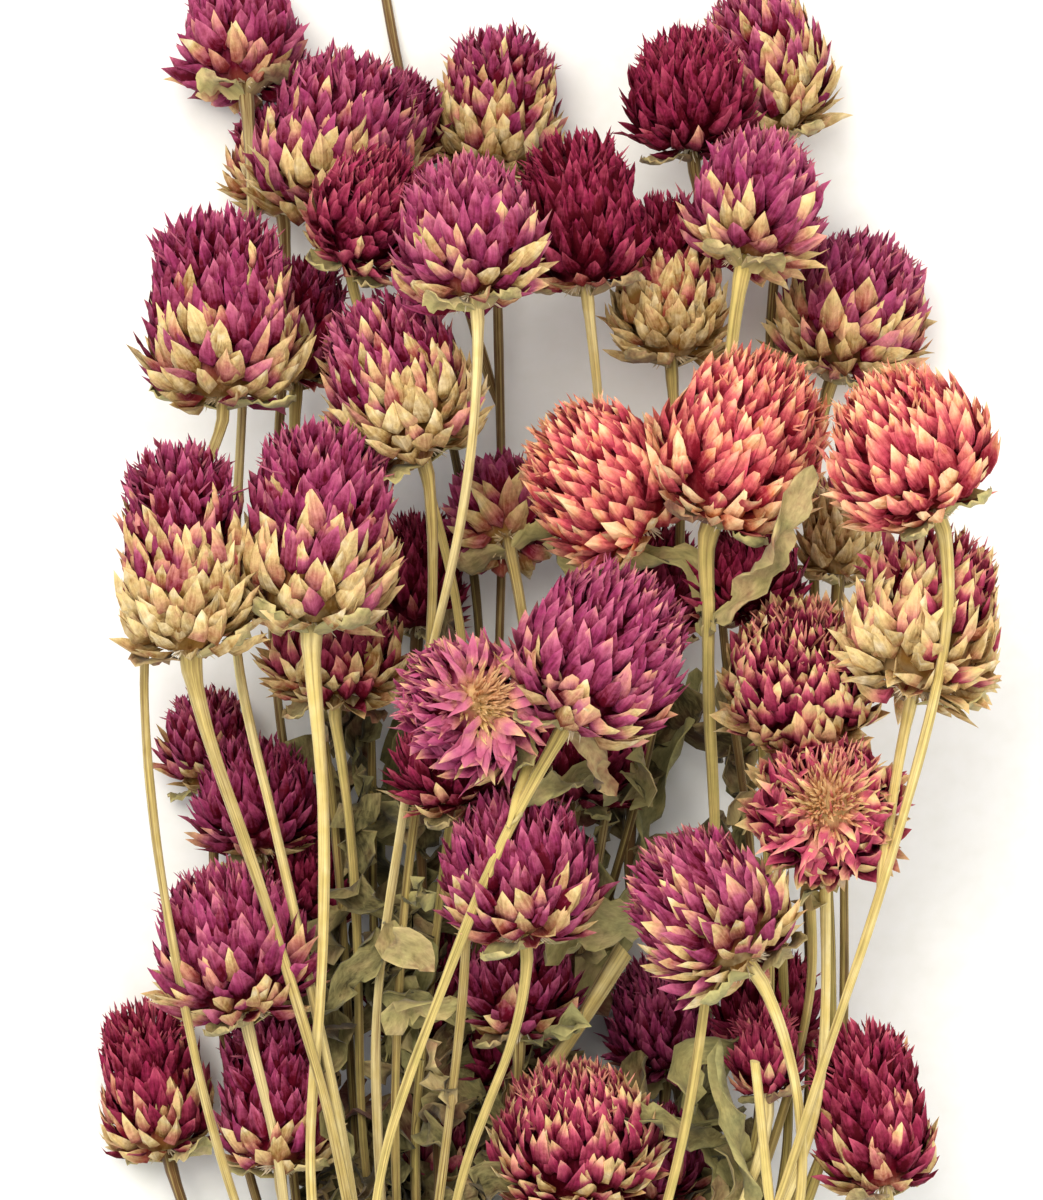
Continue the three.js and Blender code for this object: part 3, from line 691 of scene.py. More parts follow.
STRAW_DEEP = ("86622C", "C0AA80")
STRAW_BRIGHT = ("E4C98A", "F2E6CA")
BRACT_FINISHES = {
    Dye.PURPLE: BractFinish(
        "dried_papery_bracts_purple",
        deep=("4E0214", "6C0822", "92463A") + STRAW_DEEP,
        bright=("A63C6C", "C66C86", "E2A488") + STRAW_BRIGHT,
    ),
    Dye.CRIMSON: BractFinish(
        "dried_papery_bracts_crimson",
        deep=("46000E", "6C0A20", "964434") + STRAW_DEEP,
        bright=("A42C54", "CA6074", "ECAE8E") + STRAW_BRIGHT,
    ),
    Dye.SALMON: BractFinish(
        "dried_papery_bracts_salmon",
        deep=("74101E", "9A2834", "C8683E", "D6A662", "CFC0A2"),
        bright=("DC546A", "F48C80", "FFC498", "FFE4B0", "F8EEDA"),
    ),
}
STEM_FINISH = DriedFinish(
    "dried_flower_stem",
    deep=("4C3A18", "5E4220", "6C4C26"),
    bright=("C6B466", "DCC476", "EAD898"),
)
LEAF_FINISH = LeafFinish(
    "dried_leaf",
    deep=("2C2812", "40381C", "523C20", "461A16"),
    bright=("A6A068", "BCB072", "CCB680", "A06E54"),
)
# Jute fibres, spun and laid in two plies: golden brown and matt, with short bristly streaks
TWINE_FINISH = DriedFinish(
    "natural_jute_twine",
    deep=("7A5C34", "866840", "8E7048"),
    bright=("C8A878", "D2B488", "DCC096"),
    across=3.0,
    along=0.8,
    relief=0.3,
    sheen=0.3,
)


# Flower heads


@dataclass(frozen=True)
class Bloom:
    """How one flower head looks, chosen for each.

    straw is the share of the head, from its base, that has faded; mottle is how far fresh and faded
    bracts mix about that line; tips is how pale the tips are and light how light the dye is; spread is
    how far the lower bracts stand out; fine is how narrow and bristly the bracts are; heart is the
    direction of an opening that shows pale florets, and loose is how far the bracts stray from even.
    """

    number: int
    dye: Dye
    straw: float
    mottle: float = 0.2
    tips: float = 0.25
    light: float = 0.5
    spread: float = 0.2
    fine: float = 0.0
    heart: tuple[float, float, float] | None = None
    loose: float = 1.0


P, C, S = Dye.PURPLE, Dye.CRIMSON, Dye.SALMON
BLOOMS = (
    Bloom(1, P, 0.1, 0.2, 0.2, 0.55),
    Bloom(2, P, 0.5, 0.3, 0.2, 0.35),
    Bloom(3, P, 0.3, 0.6, 0.25, 0.55),
    Bloom(4, C, 0.08, 0.2, 0.3, 0.6, 0.2),
    Bloom(5, P, 0.2, 0.3, 0.2, 0.3),
    Bloom(6, P, 0.52, 0.4, 0.25, 0.5),
    Bloom(7, P, 0.16, 0.3, 0.35, 0.7, 0.2),
    Bloom(8, C, 0.04, 0.1, 0.05, 0.22, 0.1, 0.5),
    Bloom(9, C, 0.0, 0.1, 0.05, 0.35, 0.15, 0.7),
    Bloom(10, P, 0.48, 0.5, 0.35, 0.6),
    Bloom(11, P, 0.15, 0.25, 0.35, 0.8, 0.2),
    Bloom(12, C, 0.62, 0.2, 0.1, 0.35),
    Bloom(13, P, 0.38, 0.25, 0.3, 0.6),
    Bloom(14, P, 0.3, 0.5, 0.2, 0.5),
    Bloom(15, P, 0.25, 0.3, 0.2, 0.25),
    Bloom(16, P, 0.5, 0.4, 0.3, 0.55),
    Bloom(17, P, 0.2, 0.2, 0.1, 0.25),
    Bloom(18, P, 0.55, 0.25, 0.25, 0.5),
    Bloom(19, P, 0.42, 0.3, 0.3, 0.7),
    Bloom(20, S, 0.12, 0.3, 0.95, 0.8, 0.2),
    Bloom(21, S, 0.1, 0.3, 0.9, 0.7, 0.15),
    Bloom(22, S, 0.08, 0.25, 0.95, 0.66, 0.15),
    Bloom(23, P, 0.2, 0.2, 0.2, 0.5),
    Bloom(24, C, 0.0, 0.1, 0.0, 0.2, 0.2, 0.7),
    Bloom(25, C, 0.0, 0.1, 0.0, 0.3, 0.2, 0.5),
    Bloom(26, P, 1.0, 0.2, 0.3, 0.5, 0.1),
    Bloom(27, C, 0.66, 0.6, 0.75, 0.85, 0.55, 0.1, None, 2.0),
    Bloom(28, C, 0.3, 0.4, 1.1, 0.8, 0.0),
    Bloom(29, C, 0.12, 0.4, 1.0, 1.3, 0.25, 0.1, (0.0, 0.1, 0.97), 2.2),
    Bloom(30, P, 0.12, 0.25, 0.35, 0.75, 0.12),
    Bloom(31, P, 0.05, 0.2, 0.5, 1.15, 0.4, 0.2, (0.42, 0.22, 0.88), 2.6),
    Bloom(32, C, 0.1, 0.2, 0.2, 0.4, 0.3, 0.3),
    Bloom(33, C, 0.45, 0.5, 0.5, 0.5, 0.2),
    Bloom(34, P, 0.2, 0.3, 0.3, 0.3),
    Bloom(35, P, 0.1, 0.2, 0.1, 0.35, 0.2, 0.4),
    Bloom(36, P, 0.16, 0.25, 0.3, 0.62, 0.3, 0.15),
    Bloom(37, P, 0.13, 0.25, 0.25, 0.5, 0.15, 0.25),
    Bloom(38, P, 0.15, 0.2, 0.2, 0.3, 0.2),
    Bloom(39, P, 0.28, 0.35, 0.45, 0.65, 0.35, 0.3),
    Bloom(40, P, 0.0, 0.1, 0.15, 0.75, 0.3, 0.8),
    Bloom(41, C, 0.08, 0.2, 0.3, 0.85, 0.2, 0.8),
    Bloom(42, C, 0.2, 0.4, 0.9, 0.9, 0.15, 0.3),
    Bloom(43, C, 0.15, 0.2, 0.1, 0.3, 0.2, 0.3),
    Bloom(44, C, 0.22, 0.3, 0.25, 0.48, 0.2, 0.4),
    Bloom(45, P, 0.15, 0.2, 0.15, 0.4),
    Bloom(46, C, 0.12, 0.5, 0.25, 0.5, 0.15, 0.35),
)


@dataclass
class FlowerHead:
    """One flower head: an egg-shaped core under spirals of bracts, with florets and a woolly base."""

    bloom: Bloom
    centre: Array
    aim: Array
    half_length: float
    radius: float
    node: str = ""

    SHARE = 0.9  # the CAD solid is this much of the whole head
    BELLY = 0.12
    POLE_EDGES = 10
    BRACT_LENGTH = 7.0
    BRACT_WIDTH = 3.15
    USUAL_RADIUS = 12.0
    SPACING = 0.146  # share of length times width by which each bract covers the core
    COUNTS = (110, 400)
    STATIONS = 3
    ACROSS = np.array([1.0, 0.5, 0.0, -0.5, -1.0, 0.0])
    KEEL = np.array([0.0, 0.55, 1.0, 0.55, 0.0, 1.0])
    UNDERSIDE = np.array([0.0, 0.0, 0.0, 0.0, 0.0, 1.0])
    THICKNESS = 0.26
    CORE_SIZE = (7, 12)
    HEART_RADIUS = 1.35  # angles from the opening's middle, in radians
    HEART_HOLE = 0.36
    SWEPT = (-1.0, -0.6, 0.2)  # the way in which bracts round an opening are longest
    BY_SHARE = (  # first tilt, last tilt, width and length, from the base at 0 to the crown at 1
        ((0, 0.15, 0.5, 0.8, 1), (14, 30, 37, 48, 76)),
        ((0, 0.15, 0.5, 0.8, 1), (-24, -12, -4, 14, 58)),
        ((0, 0.3, 0.6, 0.85, 1), (1.3, 1.2, 0.95, 0.7, 0.42)),
        ((0, 0.5, 0.8, 1), (1.15, 1.02, 0.85, 0.7)),
    )

    @staticmethod
    def read(bloom: Bloom) -> "FlowerHead":
        """Reads a head's place, direction and size from its CAD node.

        The node is an egg turned about its axis, and its poles are the points where many edges meet.

        Args:
            bloom: how the head looks.

        Returns:
            The head.
        """
        node = f"flower_head_{bloom.number:02d}"
        solid = Welded.read(node)
        meeting = np.bincount(solid.edges.ravel(), minlength=len(solid.points))
        poles = solid.points[meeting >= FlowerHead.POLE_EDGES]
        low, high = poles[np.argsort(poles[:, 1])][[0, -1]]
        centre = (low + high) / 2
        aim = unit(high - low)
        reach = solid.points - centre
        off_axis = np.linalg.norm(reach - np.outer(reach @ aim, aim), axis=1).max()
        half_length = float(np.linalg.norm(high - low)) / 2 / FlowerHead.SHARE
        radius = float(off_axis) / FlowerHead.SHARE / (1 + FlowerHead.BELLY / 2)
        return FlowerHead(bloom, centre, aim, half_length, radius, node)

    def __post_init__(self) -> None:
        """Works out the bracts' size and the core that they stand on."""
        self.random = np.random.default_rng(self.bloom.number)
        self.side = unit(np.cross(self.aim, UP))
        self.front = np.cross(self.side, self.aim)
        self.scale = math.sqrt(self.radius / self.USUAL_RADIUS)
        self.length = self.BRACT_LENGTH * self.scale
        self.width = self.BRACT_WIDTH * self.scale * (1 - 0.3 * self.bloom.fine)
        self.core_radius = self.radius - 0.4 * self.length
        self.core_half = self.half_length - 0.42 * self.length
        self.barrel = 2.1 + 2.3 * min(max(self.half_length / self.radius - 1, 0), 0.5)
        self.gaze = unit(np.array(self.bloom.heart or self.aim))

    @property
    def base(self) -> Array:
        """The point at which the stem enters."""
        return self.centre - self.aim * self.half_length * self.SHARE

    def on_core(self, height: Array, turn: Array) -> tuple[Array, Array, Array]:
        """Points of the core's surface, a rounded barrel that is fuller below its middle.

        The radius at height h, from -1 to 1, is the core's radius times (1 less h to the p) to the
        power 1 over p, times 1 less BELLY h, and p is larger for a longer head.

        Args:
            height: place along the axis.
            turn: angle round the axis.

        Returns:
            Points, the directions towards the crown, and the outward directions.
        """
        power = self.barrel
        left = np.maximum(1 - np.abs(height) ** power, 1e-6)
        ring = left ** (1 / power)
        narrowing = -np.sign(height) * np.abs(height) ** (power - 1) * left ** (1 / power - 1)
        plump = 1 - self.BELLY * height
        out = turned(self.side, self.front, turn)
        points = self.centre + self.core_half * height[..., None] * self.aim
        points = points + (self.core_radius * ring * plump)[..., None] * out
        rise = self.core_radius * (narrowing * plump - self.BELLY * ring)
        lean = np.arctan2(rise, self.core_half)
        return points, turned(self.aim, out, lean), turned(out, -self.aim, lean)

    def core(self) -> Skin:
        """The closed core, in the darkest tone away from an opening, that shows as painted shade between
        the bracts.

        Returns:
            Its skin.
        """
        rows, sides = self.CORE_SIZE
        height = np.cos(np.linspace(0.93, 0.07, rows) * math.pi)
        height, turn = np.meshgrid(height, np.arange(sides) * FULL_TURN / sides, indexing="ij")
        ends = self.centre + np.array([[-1.0], [1.0]]) * self.core_half * self.aim
        points, quads, tris = shells(self.on_core(height, -turn)[0][None], ends[None])
        share = ((points - self.centre) @ self.aim / self.core_half + 1) / 2
        fade = eased(self.bloom.straw - share, -0.1, 0.2) * 0.8
        # Tone 0, the darkest, is painted shade between the bracts.
        tone = np.zeros(len(points))
        if self.bloom.heart:
            near = eased(unit(points - self.centre) @ self.gaze, 0.6, 0.9)
            fade, tone = fade + (0.75 - fade) * near, 0.8 * near
        return Skin(points, quads, tris, fade, tone, points * 0.4)

    def bracts(self) -> Skin:
        """The bracts, on a spiral that turns by the golden angle from each to the next.

        A bract's middle line is bent evenly from its first to its last tilt off the surface, and its
        tip turns out or in by s cubed. Its half width at s along it is the root of s times 1 less s to
        the 1.1, and its cross section is a keel whose height is a share of that width. Round an
        opening the bracts lean away from its middle, and those in the middle are left out.

        Returns:
            The skin of all bracts.
        """
        draw, look = self.random, self.bloom
        area = 4 * math.pi * (self.core_radius**2 * self.core_half) ** (2 / 3)
        count = int(np.clip(area / (self.SPACING * self.length * self.width), *self.COUNTS))
        order = (np.arange(count) + 0.5) / count
        height = np.clip(1 - 2 * order**1.12 + draw.normal(0, 0.018, count), -0.985, 0.985)
        turn = np.arange(count) * GOLDEN_ANGLE + draw.normal(0, 0.1, count)
        share = (height + 1) / 2
        start, upward, outward = self.on_core(height, turn)
        tilt_in, tilt_out, slim, long = (np.interp(share, *row) for row in self.BY_SHARE)
        opened = look.spread * eased(0.55 - share, 0, 0.5)
        tilt_in = np.radians(tilt_in) + opened * 0.5 + draw.normal(0, 0.1, count) * look.loose
        tilt_out = np.radians(tilt_out) + opened * 1.3 + draw.normal(0, 0.24, count) * look.loose
        curl = draw.normal(0.24, 0.28, count) + 0.25 * opened
        slim = slim * draw.normal(1, 0.14, count)
        long = long * draw.normal(1, 0.12, count) * (1 + 0.3 * opened)
        sway = draw.normal(0, 0.18, count) * look.loose
        near = np.zeros(count)
        if look.heart:
            away = unit(start - self.centre)
            apart = np.arccos(np.clip(away @ self.gaze, -1, 1))
            near = eased(self.HEART_RADIUS - apart, 0, 0.9)
            flee = unit(away - (away @ self.gaze)[:, None] * self.gaze)
            flee = unit(flee - np.sum(flee * outward, 1)[:, None] * outward)
            upward = unit(upward * (1 - near)[:, None] + flee * near[:, None] * 1.4)
            long = long * (1 + 0.45 * near * eased(flee @ unit(np.array(self.SWEPT)), 0, 1))
            tilt_in, tilt_out = tilt_in + near * 0.1, tilt_out + near * 0.2
            rows = (share, turn, start, upward, outward, tilt_in, tilt_out, curl, slim, long, sway, near)
            rows = (row[apart > self.HEART_HOLE] for row in rows)
            share, turn, start, upward, outward, tilt_in, tilt_out, curl, slim, long, sway, near = rows
            count = len(share)

        # Middle lines
        lengths = self.length * long[:, None]
        s = np.linspace(0, 1, self.STATIONS + 2) ** 0.9
        upward = unit(upward + sway[:, None] * np.cross(outward, upward))
        tilt = tilt_in[:, None] + (tilt_out - tilt_in)[:, None] * s + curl[:, None] * s**3
        middle = (tilt[:, 1:] + tilt[:, :-1]) / 2
        steps = lengths[..., None] * np.diff(s)[:, None] * turned(upward[:, None], outward[:, None], middle)
        line = start[:, None] + np.concatenate([np.zeros((count, 1, 3)), np.cumsum(steps, 1)], 1)
        face = turned(outward[:, None], -upward[:, None], tilt)
        side = np.broadcast_to(np.cross(outward, upward)[:, None], face.shape)
        roll = draw.normal(0, 0.34, count)[:, None] * (0.4 + 0.8 * s) * look.loose
        face, side = turned(face, side, roll), turned(side, -face, roll)

        # Cross sections
        profile = s**0.5 * (1 - s) ** 1.1
        profile = profile / profile.max()
        half = self.width * slim[:, None] / 2 * profile
        across = half[..., None] * self.ACROSS
        keel = half * draw.uniform(0.35, 1.1, count)[:, None]
        crinkle = np.interp(np.abs(self.ACROSS), [0, 0.5, 1], [0, 0.1, 0.26]) * self.scale
        rise = keel[..., None] * self.KEEL + draw.normal(0, 1, across.shape) * crinkle
        rise -= (self.THICKNESS * (0.4 + 0.6 * profile))[:, None] * self.UNDERSIDE
        offsets = across[..., None] * side[:, :, None] + rise[..., None] * face[:, :, None]

        # Colours
        drift = np.sin(3 * turn + look.number) * 0.5 + np.sin(turn * 1.7 + 2 * look.number)
        faded = (look.straw - share + look.mottle * (draw.normal(0, 0.45, count) + 0.35 * drift))[:, None]
        aged = eased(faded, -0.12, 0.16)
        blush = draw.uniform(0.1, 1.0, count)[:, None] * (1 - 0.85 * eased(faded, 0.1, 0.38))
        fade = aged * 0.84 * (1 - blush * (1 - eased(s, 0.3, 0.85)))
        salmon = look.dye is Dye.SALMON
        uneven = draw.uniform(0.7, 1.3, count) if salmon else draw.uniform(0.3, 1.35, count) ** 2
        fade = fade + (0.8 - fade) * look.tips * uneven[:, None] * eased(s, 0.4, 1.0)
        fade = fade + (0.56 - fade) * near[:, None] * (0.25 + 0.7 * eased(0.75 - s, 0, 0.6))
        # The 0.8 (s less 0.6) term darkens each bract towards its base, painted shade where the bracts
        # above cover it.
        tone = 0.01 + 0.6 * look.light + draw.normal(0, 0.15, count)[:, None] + 0.8 * (s - 0.6)
        tone = tone + 0.16 * aged + 0.4 * near[:, None]
        rim = self.ACROSS**2 * eased(s, 0.2, 0.8)[:, None]
        fade = fade[..., None] + rim * (-0.15 if salmon else 0.05 + 0.12 * look.tips)
        tone = tone[..., None] + 0.22 * rim - 0.1 * self.UNDERSIDE
        grain = (across, (lengths * s)[..., None], np.arange(count)[:, None, None] * 3.7)
        return swept(line, offsets, np.clip(fade, 0, 0.8), tone, grain)

    def spikes(
        self, start: Array, heading: Array, length: Array, thick: float, fade: float, tone: float
    ) -> Skin:
        """Thin tapered spikes that bend a little, for florets, bristles and wool.

        Args:
            start: (n, 3) lower ends.
            heading: (n, 3) unit directions.
            length: (n,) lengths.
            thick: radius at the base.
            fade: colour, from dye at 0 to wool at 1.
            tone: how light.

        Returns:
            The skin of all spikes.
        """
        s = np.array([0.0, 0.05, 0.5, 0.9, 1.0])[:, None]
        girth = thick * np.array([0.0, 0.6, 1.0, 0.35, 0.0])[:, None, None]
        bend = unit(self.random.normal(0, 1, start.shape))
        line = start[:, None] + length[:, None, None] * (s * heading[:, None] + 0.18 * s**2 * bend[:, None])
        side = unit(np.cross(heading, bend))
        ring = turned(side[:, None], np.cross(heading, side)[:, None], np.arange(3) * FULL_TURN / 3)
        shade = tone + self.random.normal(0, 0.12, len(start))
        skin = swept(line, girth * ring[:, None], fade, shade[:, None, None], (0, 0, 0))
        skin.grain = skin.points * 0.5
        return skin

    def florets(self) -> Skin:
        """Fine florets and bristles that stand between the crown's bracts.

        Returns:
            Their skin.
        """
        draw, look = self.random, self.bloom
        count = int(80 + 60 * look.fine)
        height = 1 - draw.uniform(0, 0.45, count)
        turn = draw.uniform(0, FULL_TURN, count)
        start, _, outward = self.on_core(np.clip(height, -0.98, 0.98), turn)
        heading = unit(outward + 0.25 * self.aim + draw.normal(0, 0.18, (count, 3)))
        length = self.length * draw.uniform(0.5, 0.8, count)
        return self.spikes(start, heading, length, 0.26, 0.22 + 0.25 * look.tips, 0.3 + 0.55 * look.light)

    def heart(self) -> Skin:
        """The pale florets that an opening between the bracts shows.

        Returns:
            Their skin.
        """
        draw, count = self.random, 200
        heading = unit(self.gaze + draw.normal(0, 0.34, (count, 3)))
        near = self.centre + heading * self.core_radius * 0.9
        length = self.length * draw.uniform(0.3, 0.85, count)
        return self.spikes(near, heading, length, 0.3, 0.72, 1.1)

    def wool(self) -> Skin:
        """The woolly hairs between the stem and the lowest bracts.

        Returns:
            Their skin.
        """
        draw, count = self.random, 50
        out = turned(self.side, self.front, draw.uniform(0, FULL_TURN, count))
        start = self.centre - self.aim * self.core_half * 0.97 + out * self.core_radius * 0.2
        away, down = (draw.uniform(*span, count)[:, None] for span in ((0.4, 1.2), (0.1, 1.0)))
        heading = unit(out * away - self.aim * down)
        length = draw.uniform(1.5, 3.6, count) * self.scale
        return self.spikes(start, heading, length, 0.16, 1.0, 0.6)

    def build(self, finishes: dict[Dye, bpy.types.Material]) -> bpy.types.Object:
        """Joins the head's skins into one piece.

        Args:
            finishes: the bracts' materials.

        Returns:
            The piece.
        """
        skins = [self.core(), self.bracts(), self.florets(), self.wool()]
        if self.bloom.heart:
            skins.append(self.heart())
        dye = self.bloom.dye
        nodes = [self.node] if self.node else []
        return piece(f"amaranth_head_{self.bloom.number:02d}", skins, [finishes[dye]], nodes)


# Stalks


@dataclass
class Stalk:
    """One stalk with its side stems, the collar leaves under its heads and its stem leaves."""

    number: int
    main: int
    heads: dict[int, FlowerHead]

    SIDES = 12
    STEP = 2.2
    PLUG = 2.2  # how far a stem reaches into its head
    FOOT_WIDTH = 2.4
    TIED_WIDTH = 3.2
    TIED_FROM = (155, 85)  # distances from the foot over which it thickens to that
    SLIM_WIDTH = 1.42
    USUAL_WIDTH = 1.75
    FLARE = (0.45, 2.0, 2.4)  # height, place and width of the bell curve under a head
    KNEE = (0.22, 9.0, 5.0)  # the same above a join
    PITH_TONE = 1.4
    SHADE_BELOW = 36  # height below which a stem's colour is darkened as painted shade deep in the bunch, and the fall that darkens it fully
    SHADE_DEPTH = 24
    LEAF_WIDTH = 6.0
    LEAF_ACROSS = np.array([1, 0.72, 0.36, 0, -0.36, -0.72, -1.0])
    LEAF_THICKNESS = 0.3
    COLLAR_STATIONS = 12

    def __post_init__(self) -> None:
        """Reads the stalk's rings from its CAD node."""
        self.node = f"stalk_{self.number:02d}"
        self.random = np.random.default_rng(100 + self.number)
        self.skeleton = Skeleton.read(self.node)
        self.extra_leaves: list[tuple[Array, float, float]] = []
        self.stout_stems: list[Array] = []
        taken: set[int] = set()
        owners = [(self.owner(end), end) for end in self.skeleton.ends]
        owners.sort(key=lambda pair: not self.is_main(pair[0]))
        self.routes = [(self.skeleton.route(end, taken), head, self.is_main(head)) for head, end in owners]

    def is_main(self, head: FlowerHead | None) -> bool:
        """Whether a head is the one on the stalk's main stem."""
        return head is not None and head.bloom.number == self.main

    def owner(self, end: int) -> FlowerHead | None:
        """Finds the head that a loose end carries.

        Args:
            end: the loose end's ring number.

        Returns:
            The head, or None for a leaf or a snapped stem.
        """
        tip = self.skeleton.centres[end]
        near = min(self.heads.values(), key=lambda head: float(np.linalg.norm(head.base - tip)))
        return near if np.linalg.norm(near.base - tip) < 3.0 else None

    def stem(self, route: Route, head: FlowerHead | None, is_main: bool, snapped: float = 0.75) -> Skin:
        """A ribbed stem along a route, flared under its head, swollen where it joins and cut flat.

        The radius at angle a is the stem's own, times 1 plus a ridge height that stays the same along
        the stem at each angle. Bumps in it are bell curves of the distance.

        Args:
            route: the middle line, from the top down.
            head: the head on top, if any.
            is_main: whether it runs down to the foot.
            snapped: radius at the top of a stem that carries no head.

        Returns:
            The stem's skin.
        """
        draw = self.random
        line = route.line.copy()
        for _ in range(2):
            line[1:-1] = (line[:-2] + 2 * line[1:-1] + line[2:]) / 4
        if head is not None:
            line = np.concatenate([[head.base + head.aim * self.PLUG], line])
        curve, at = flowing(line, self.STEP)
        tangent, side, face = frames_along(curve)
        # The first and last rings lie level with the ends, so that these are flat
        curve[[1, -2]] = curve[[0, -1]]
        at[[1, -2]] = at[[0, -1]]
        total = at[-1]
        # Width
        top = snapped if head is None else STEM_WIDTHS.get(head.bloom.number, self.USUAL_WIDTH) / 2
        slim = self.SLIM_WIDTH / 2 + 0.18 * (top - 0.8)
        low = self.FOOT_WIDTH / 2 if is_main else slim * 1.05
        girth = slim + (low - slim) * eased(at / total, 0.35, 1.0) + (top - slim) * np.exp(-at / 16)
        if is_main:
            start, end = self.TIED_FROM
            girth = girth + (self.TIED_WIDTH / 2 - low) * eased(at, total - start, total - end)
        if head is not None:
            girth = girth * bell(at, *self.FLARE)
        if route.joined:
            girth = girth * bell(total - at, *self.KNEE) * (1 - 0.6 * np.exp((at - total) / 2.5))
        wobble = np.cumsum(draw.normal(0, 0.02, at.size))
        girth = girth * (1 + 0.05 * np.sin(wobble * 9 + at * 0.21))
        # Ribs and slanted ends
        ridge = draw.uniform(-0.05, 0.05, self.SIDES)
        ridge[::2] += 0.04
        angle = np.arange(self.SIDES) * FULL_TURN / self.SIDES
        ring = turned(side[:, None], face[:, None], angle + (at * 0.006)[:, None])
        ring = ring * (girth[:, None] * (1 + ridge))[..., None]
        for end, inner, slant in ((0, 1, 0.3), (-1, -2, 0.5 * math.sin(self.number * 2.4))):
            ring[inner] += slant * (ring[inner] @ side[end])[:, None] * tangent[end]
        curve = curve + 0.12 * np.sin(at * 0.13 + draw.uniform(0, 6))[:, None] * side
        # Colours
        age = 0.55 + 0.2 * draw.normal() - (0 if is_main else 0.25) * eased(at, 40, 140)
        lit = (0.75 if head is None else 0.36 + 0.45 * head.bloom.light) + 0.08 * draw.normal()
        # Stems are darkened deeper in the bunch, as painted shade.
        lit = lit - 0.6 * eased(self.SHADE_BELOW - curve[:, 2], 0, self.SHADE_DEPTH)
        # Higher ribs are lighter and lower ones darker, as painted light and shade on the ribs.
        tone = lit[:, None] + ridge * 4
        tone[[0, -1]] = self.PITH_TONE
        grain = (angle * 1.3, at[:, None], draw.uniform(0, 90))
        return swept(curve[None], ring[None], age[:, None], tone, grain)

    def blade(
        self, curve: Array, face: Array, half: Array, curl: Array, crinkle: float, fade: float, tone: float
    ) -> Skin:
        """A thin leaf along a curve, whose cross section is an arc.

        At x across, from -1 to 1, and half width w, the arc of angle x c reaches sideways by w / c
        times its sine and up by w / c times 1 less its cosine, so that the leaf keeps its width.

        Args:
            curve: (s, 3) middle line with even steps.
            face: (s, 3) unit direction that the leaf's upper side faces.
            half: (s,) half widths.
            curl: (s,) angle from the middle to the rim.
            crinkle: height of the wrinkles in mm.
            fade: colour, from green at 0 to straw at 1.
            tone: how light.

        Returns:
            The leaf's skin.
        """
        draw = self.random
        tangent = unit(np.gradient(curve, axis=0))
        side = unit(np.cross(face, tangent))
        face = np.cross(tangent, side)
        across = np.concatenate([self.LEAF_ACROSS, self.LEAF_ACROSS[::-1]])
        below = np.repeat([0, 1], self.LEAF_ACROSS.size)
        bend = across * curl[:, None]
        radius = (half / np.maximum(np.abs(curl), 0.05))[:, None]
        s = np.linspace(0, 1, len(curve))[:, None]
        phase = draw.uniform(0, 6, 4)
        ripple = np.sin(s * 23 + across * 3 + phase[0]) + np.sin(s * 41 - across * 5 + phase[1]) * 0.5
        ripple = ripple * crinkle * (0.3 + np.abs(across)) * np.minimum(1, half / half.max() * 2)[:, None]
        up = radius * (1 - np.cos(bend)) * np.sign(curl)[:, None] + ripple - below * self.LEAF_THICKNESS
        offsets = (radius * np.sin(bend))[..., None] * side[:, None] + up[..., None] * face[:, None]
        shade = np.tile(tone + 0.25 * np.abs(across) ** 3 - 0.1 * below, (len(curve), 1))
        shade[[0, -1]] = tone
        grain = (half[:, None] * across, s * distances(curve)[-1], draw.uniform(0, 90))
        return swept(curve[None], offsets[None], fade + 0.12 * draw.normal(), shade, grain, LEAF_NUMBER)

    def collar(self, head: FlowerHead) -> list[Skin]:
        """The two rounded leaves under a head.

        Args:
            head: the head.

        Returns:
            Their skins.
        """
        draw = self.random
        made = []
        faces_up = head.bloom.number in FRONT_COLLARS
        turn = draw.uniform(0.3, 1.1)
        turns = (turn, turn + math.pi) if draw.uniform() < 0.5 else (math.pi - turn, -turn)
        if faces_up:
            turns = (math.pi / 2 - draw.uniform(0.5, 0.9), math.pi / 2 + draw.uniform(0.5, 0.9))
        s = np.linspace(0, 1, self.COLLAR_STATIONS)
        for around in turns:
            height = -0.985 + draw.uniform(*((0.22, 0.34) if faces_up else (0.16, 0.36))) * s
            start, _, outward = head.on_core(height, np.full(s.size, around))
            off = head.length * draw.uniform(0.62, 0.85) * eased(s, -0.15, 0.7)
            off = off + draw.uniform(-0.6, 2.0) * s**3
            curve = start + off[:, None] * outward
            curve[0] = head.base - head.aim * 0.9
            curve[1] = (curve[0] + curve[2]) / 2
            half = head.scale * draw.uniform(2.8, 3.8) * np.sin(np.pi * s**0.8) ** 0.6
            half[[0, -1]] = 0.05
            curl = np.full(s.size, draw.uniform(0.3, 0.9) * draw.choice([-1, -1, 1]))
            age = draw.uniform(0.3, 0.8)
            made.append(self.blade(curve, outward, half, curl, 0.3, age, 1.1 - 0.9 * age))
        return made

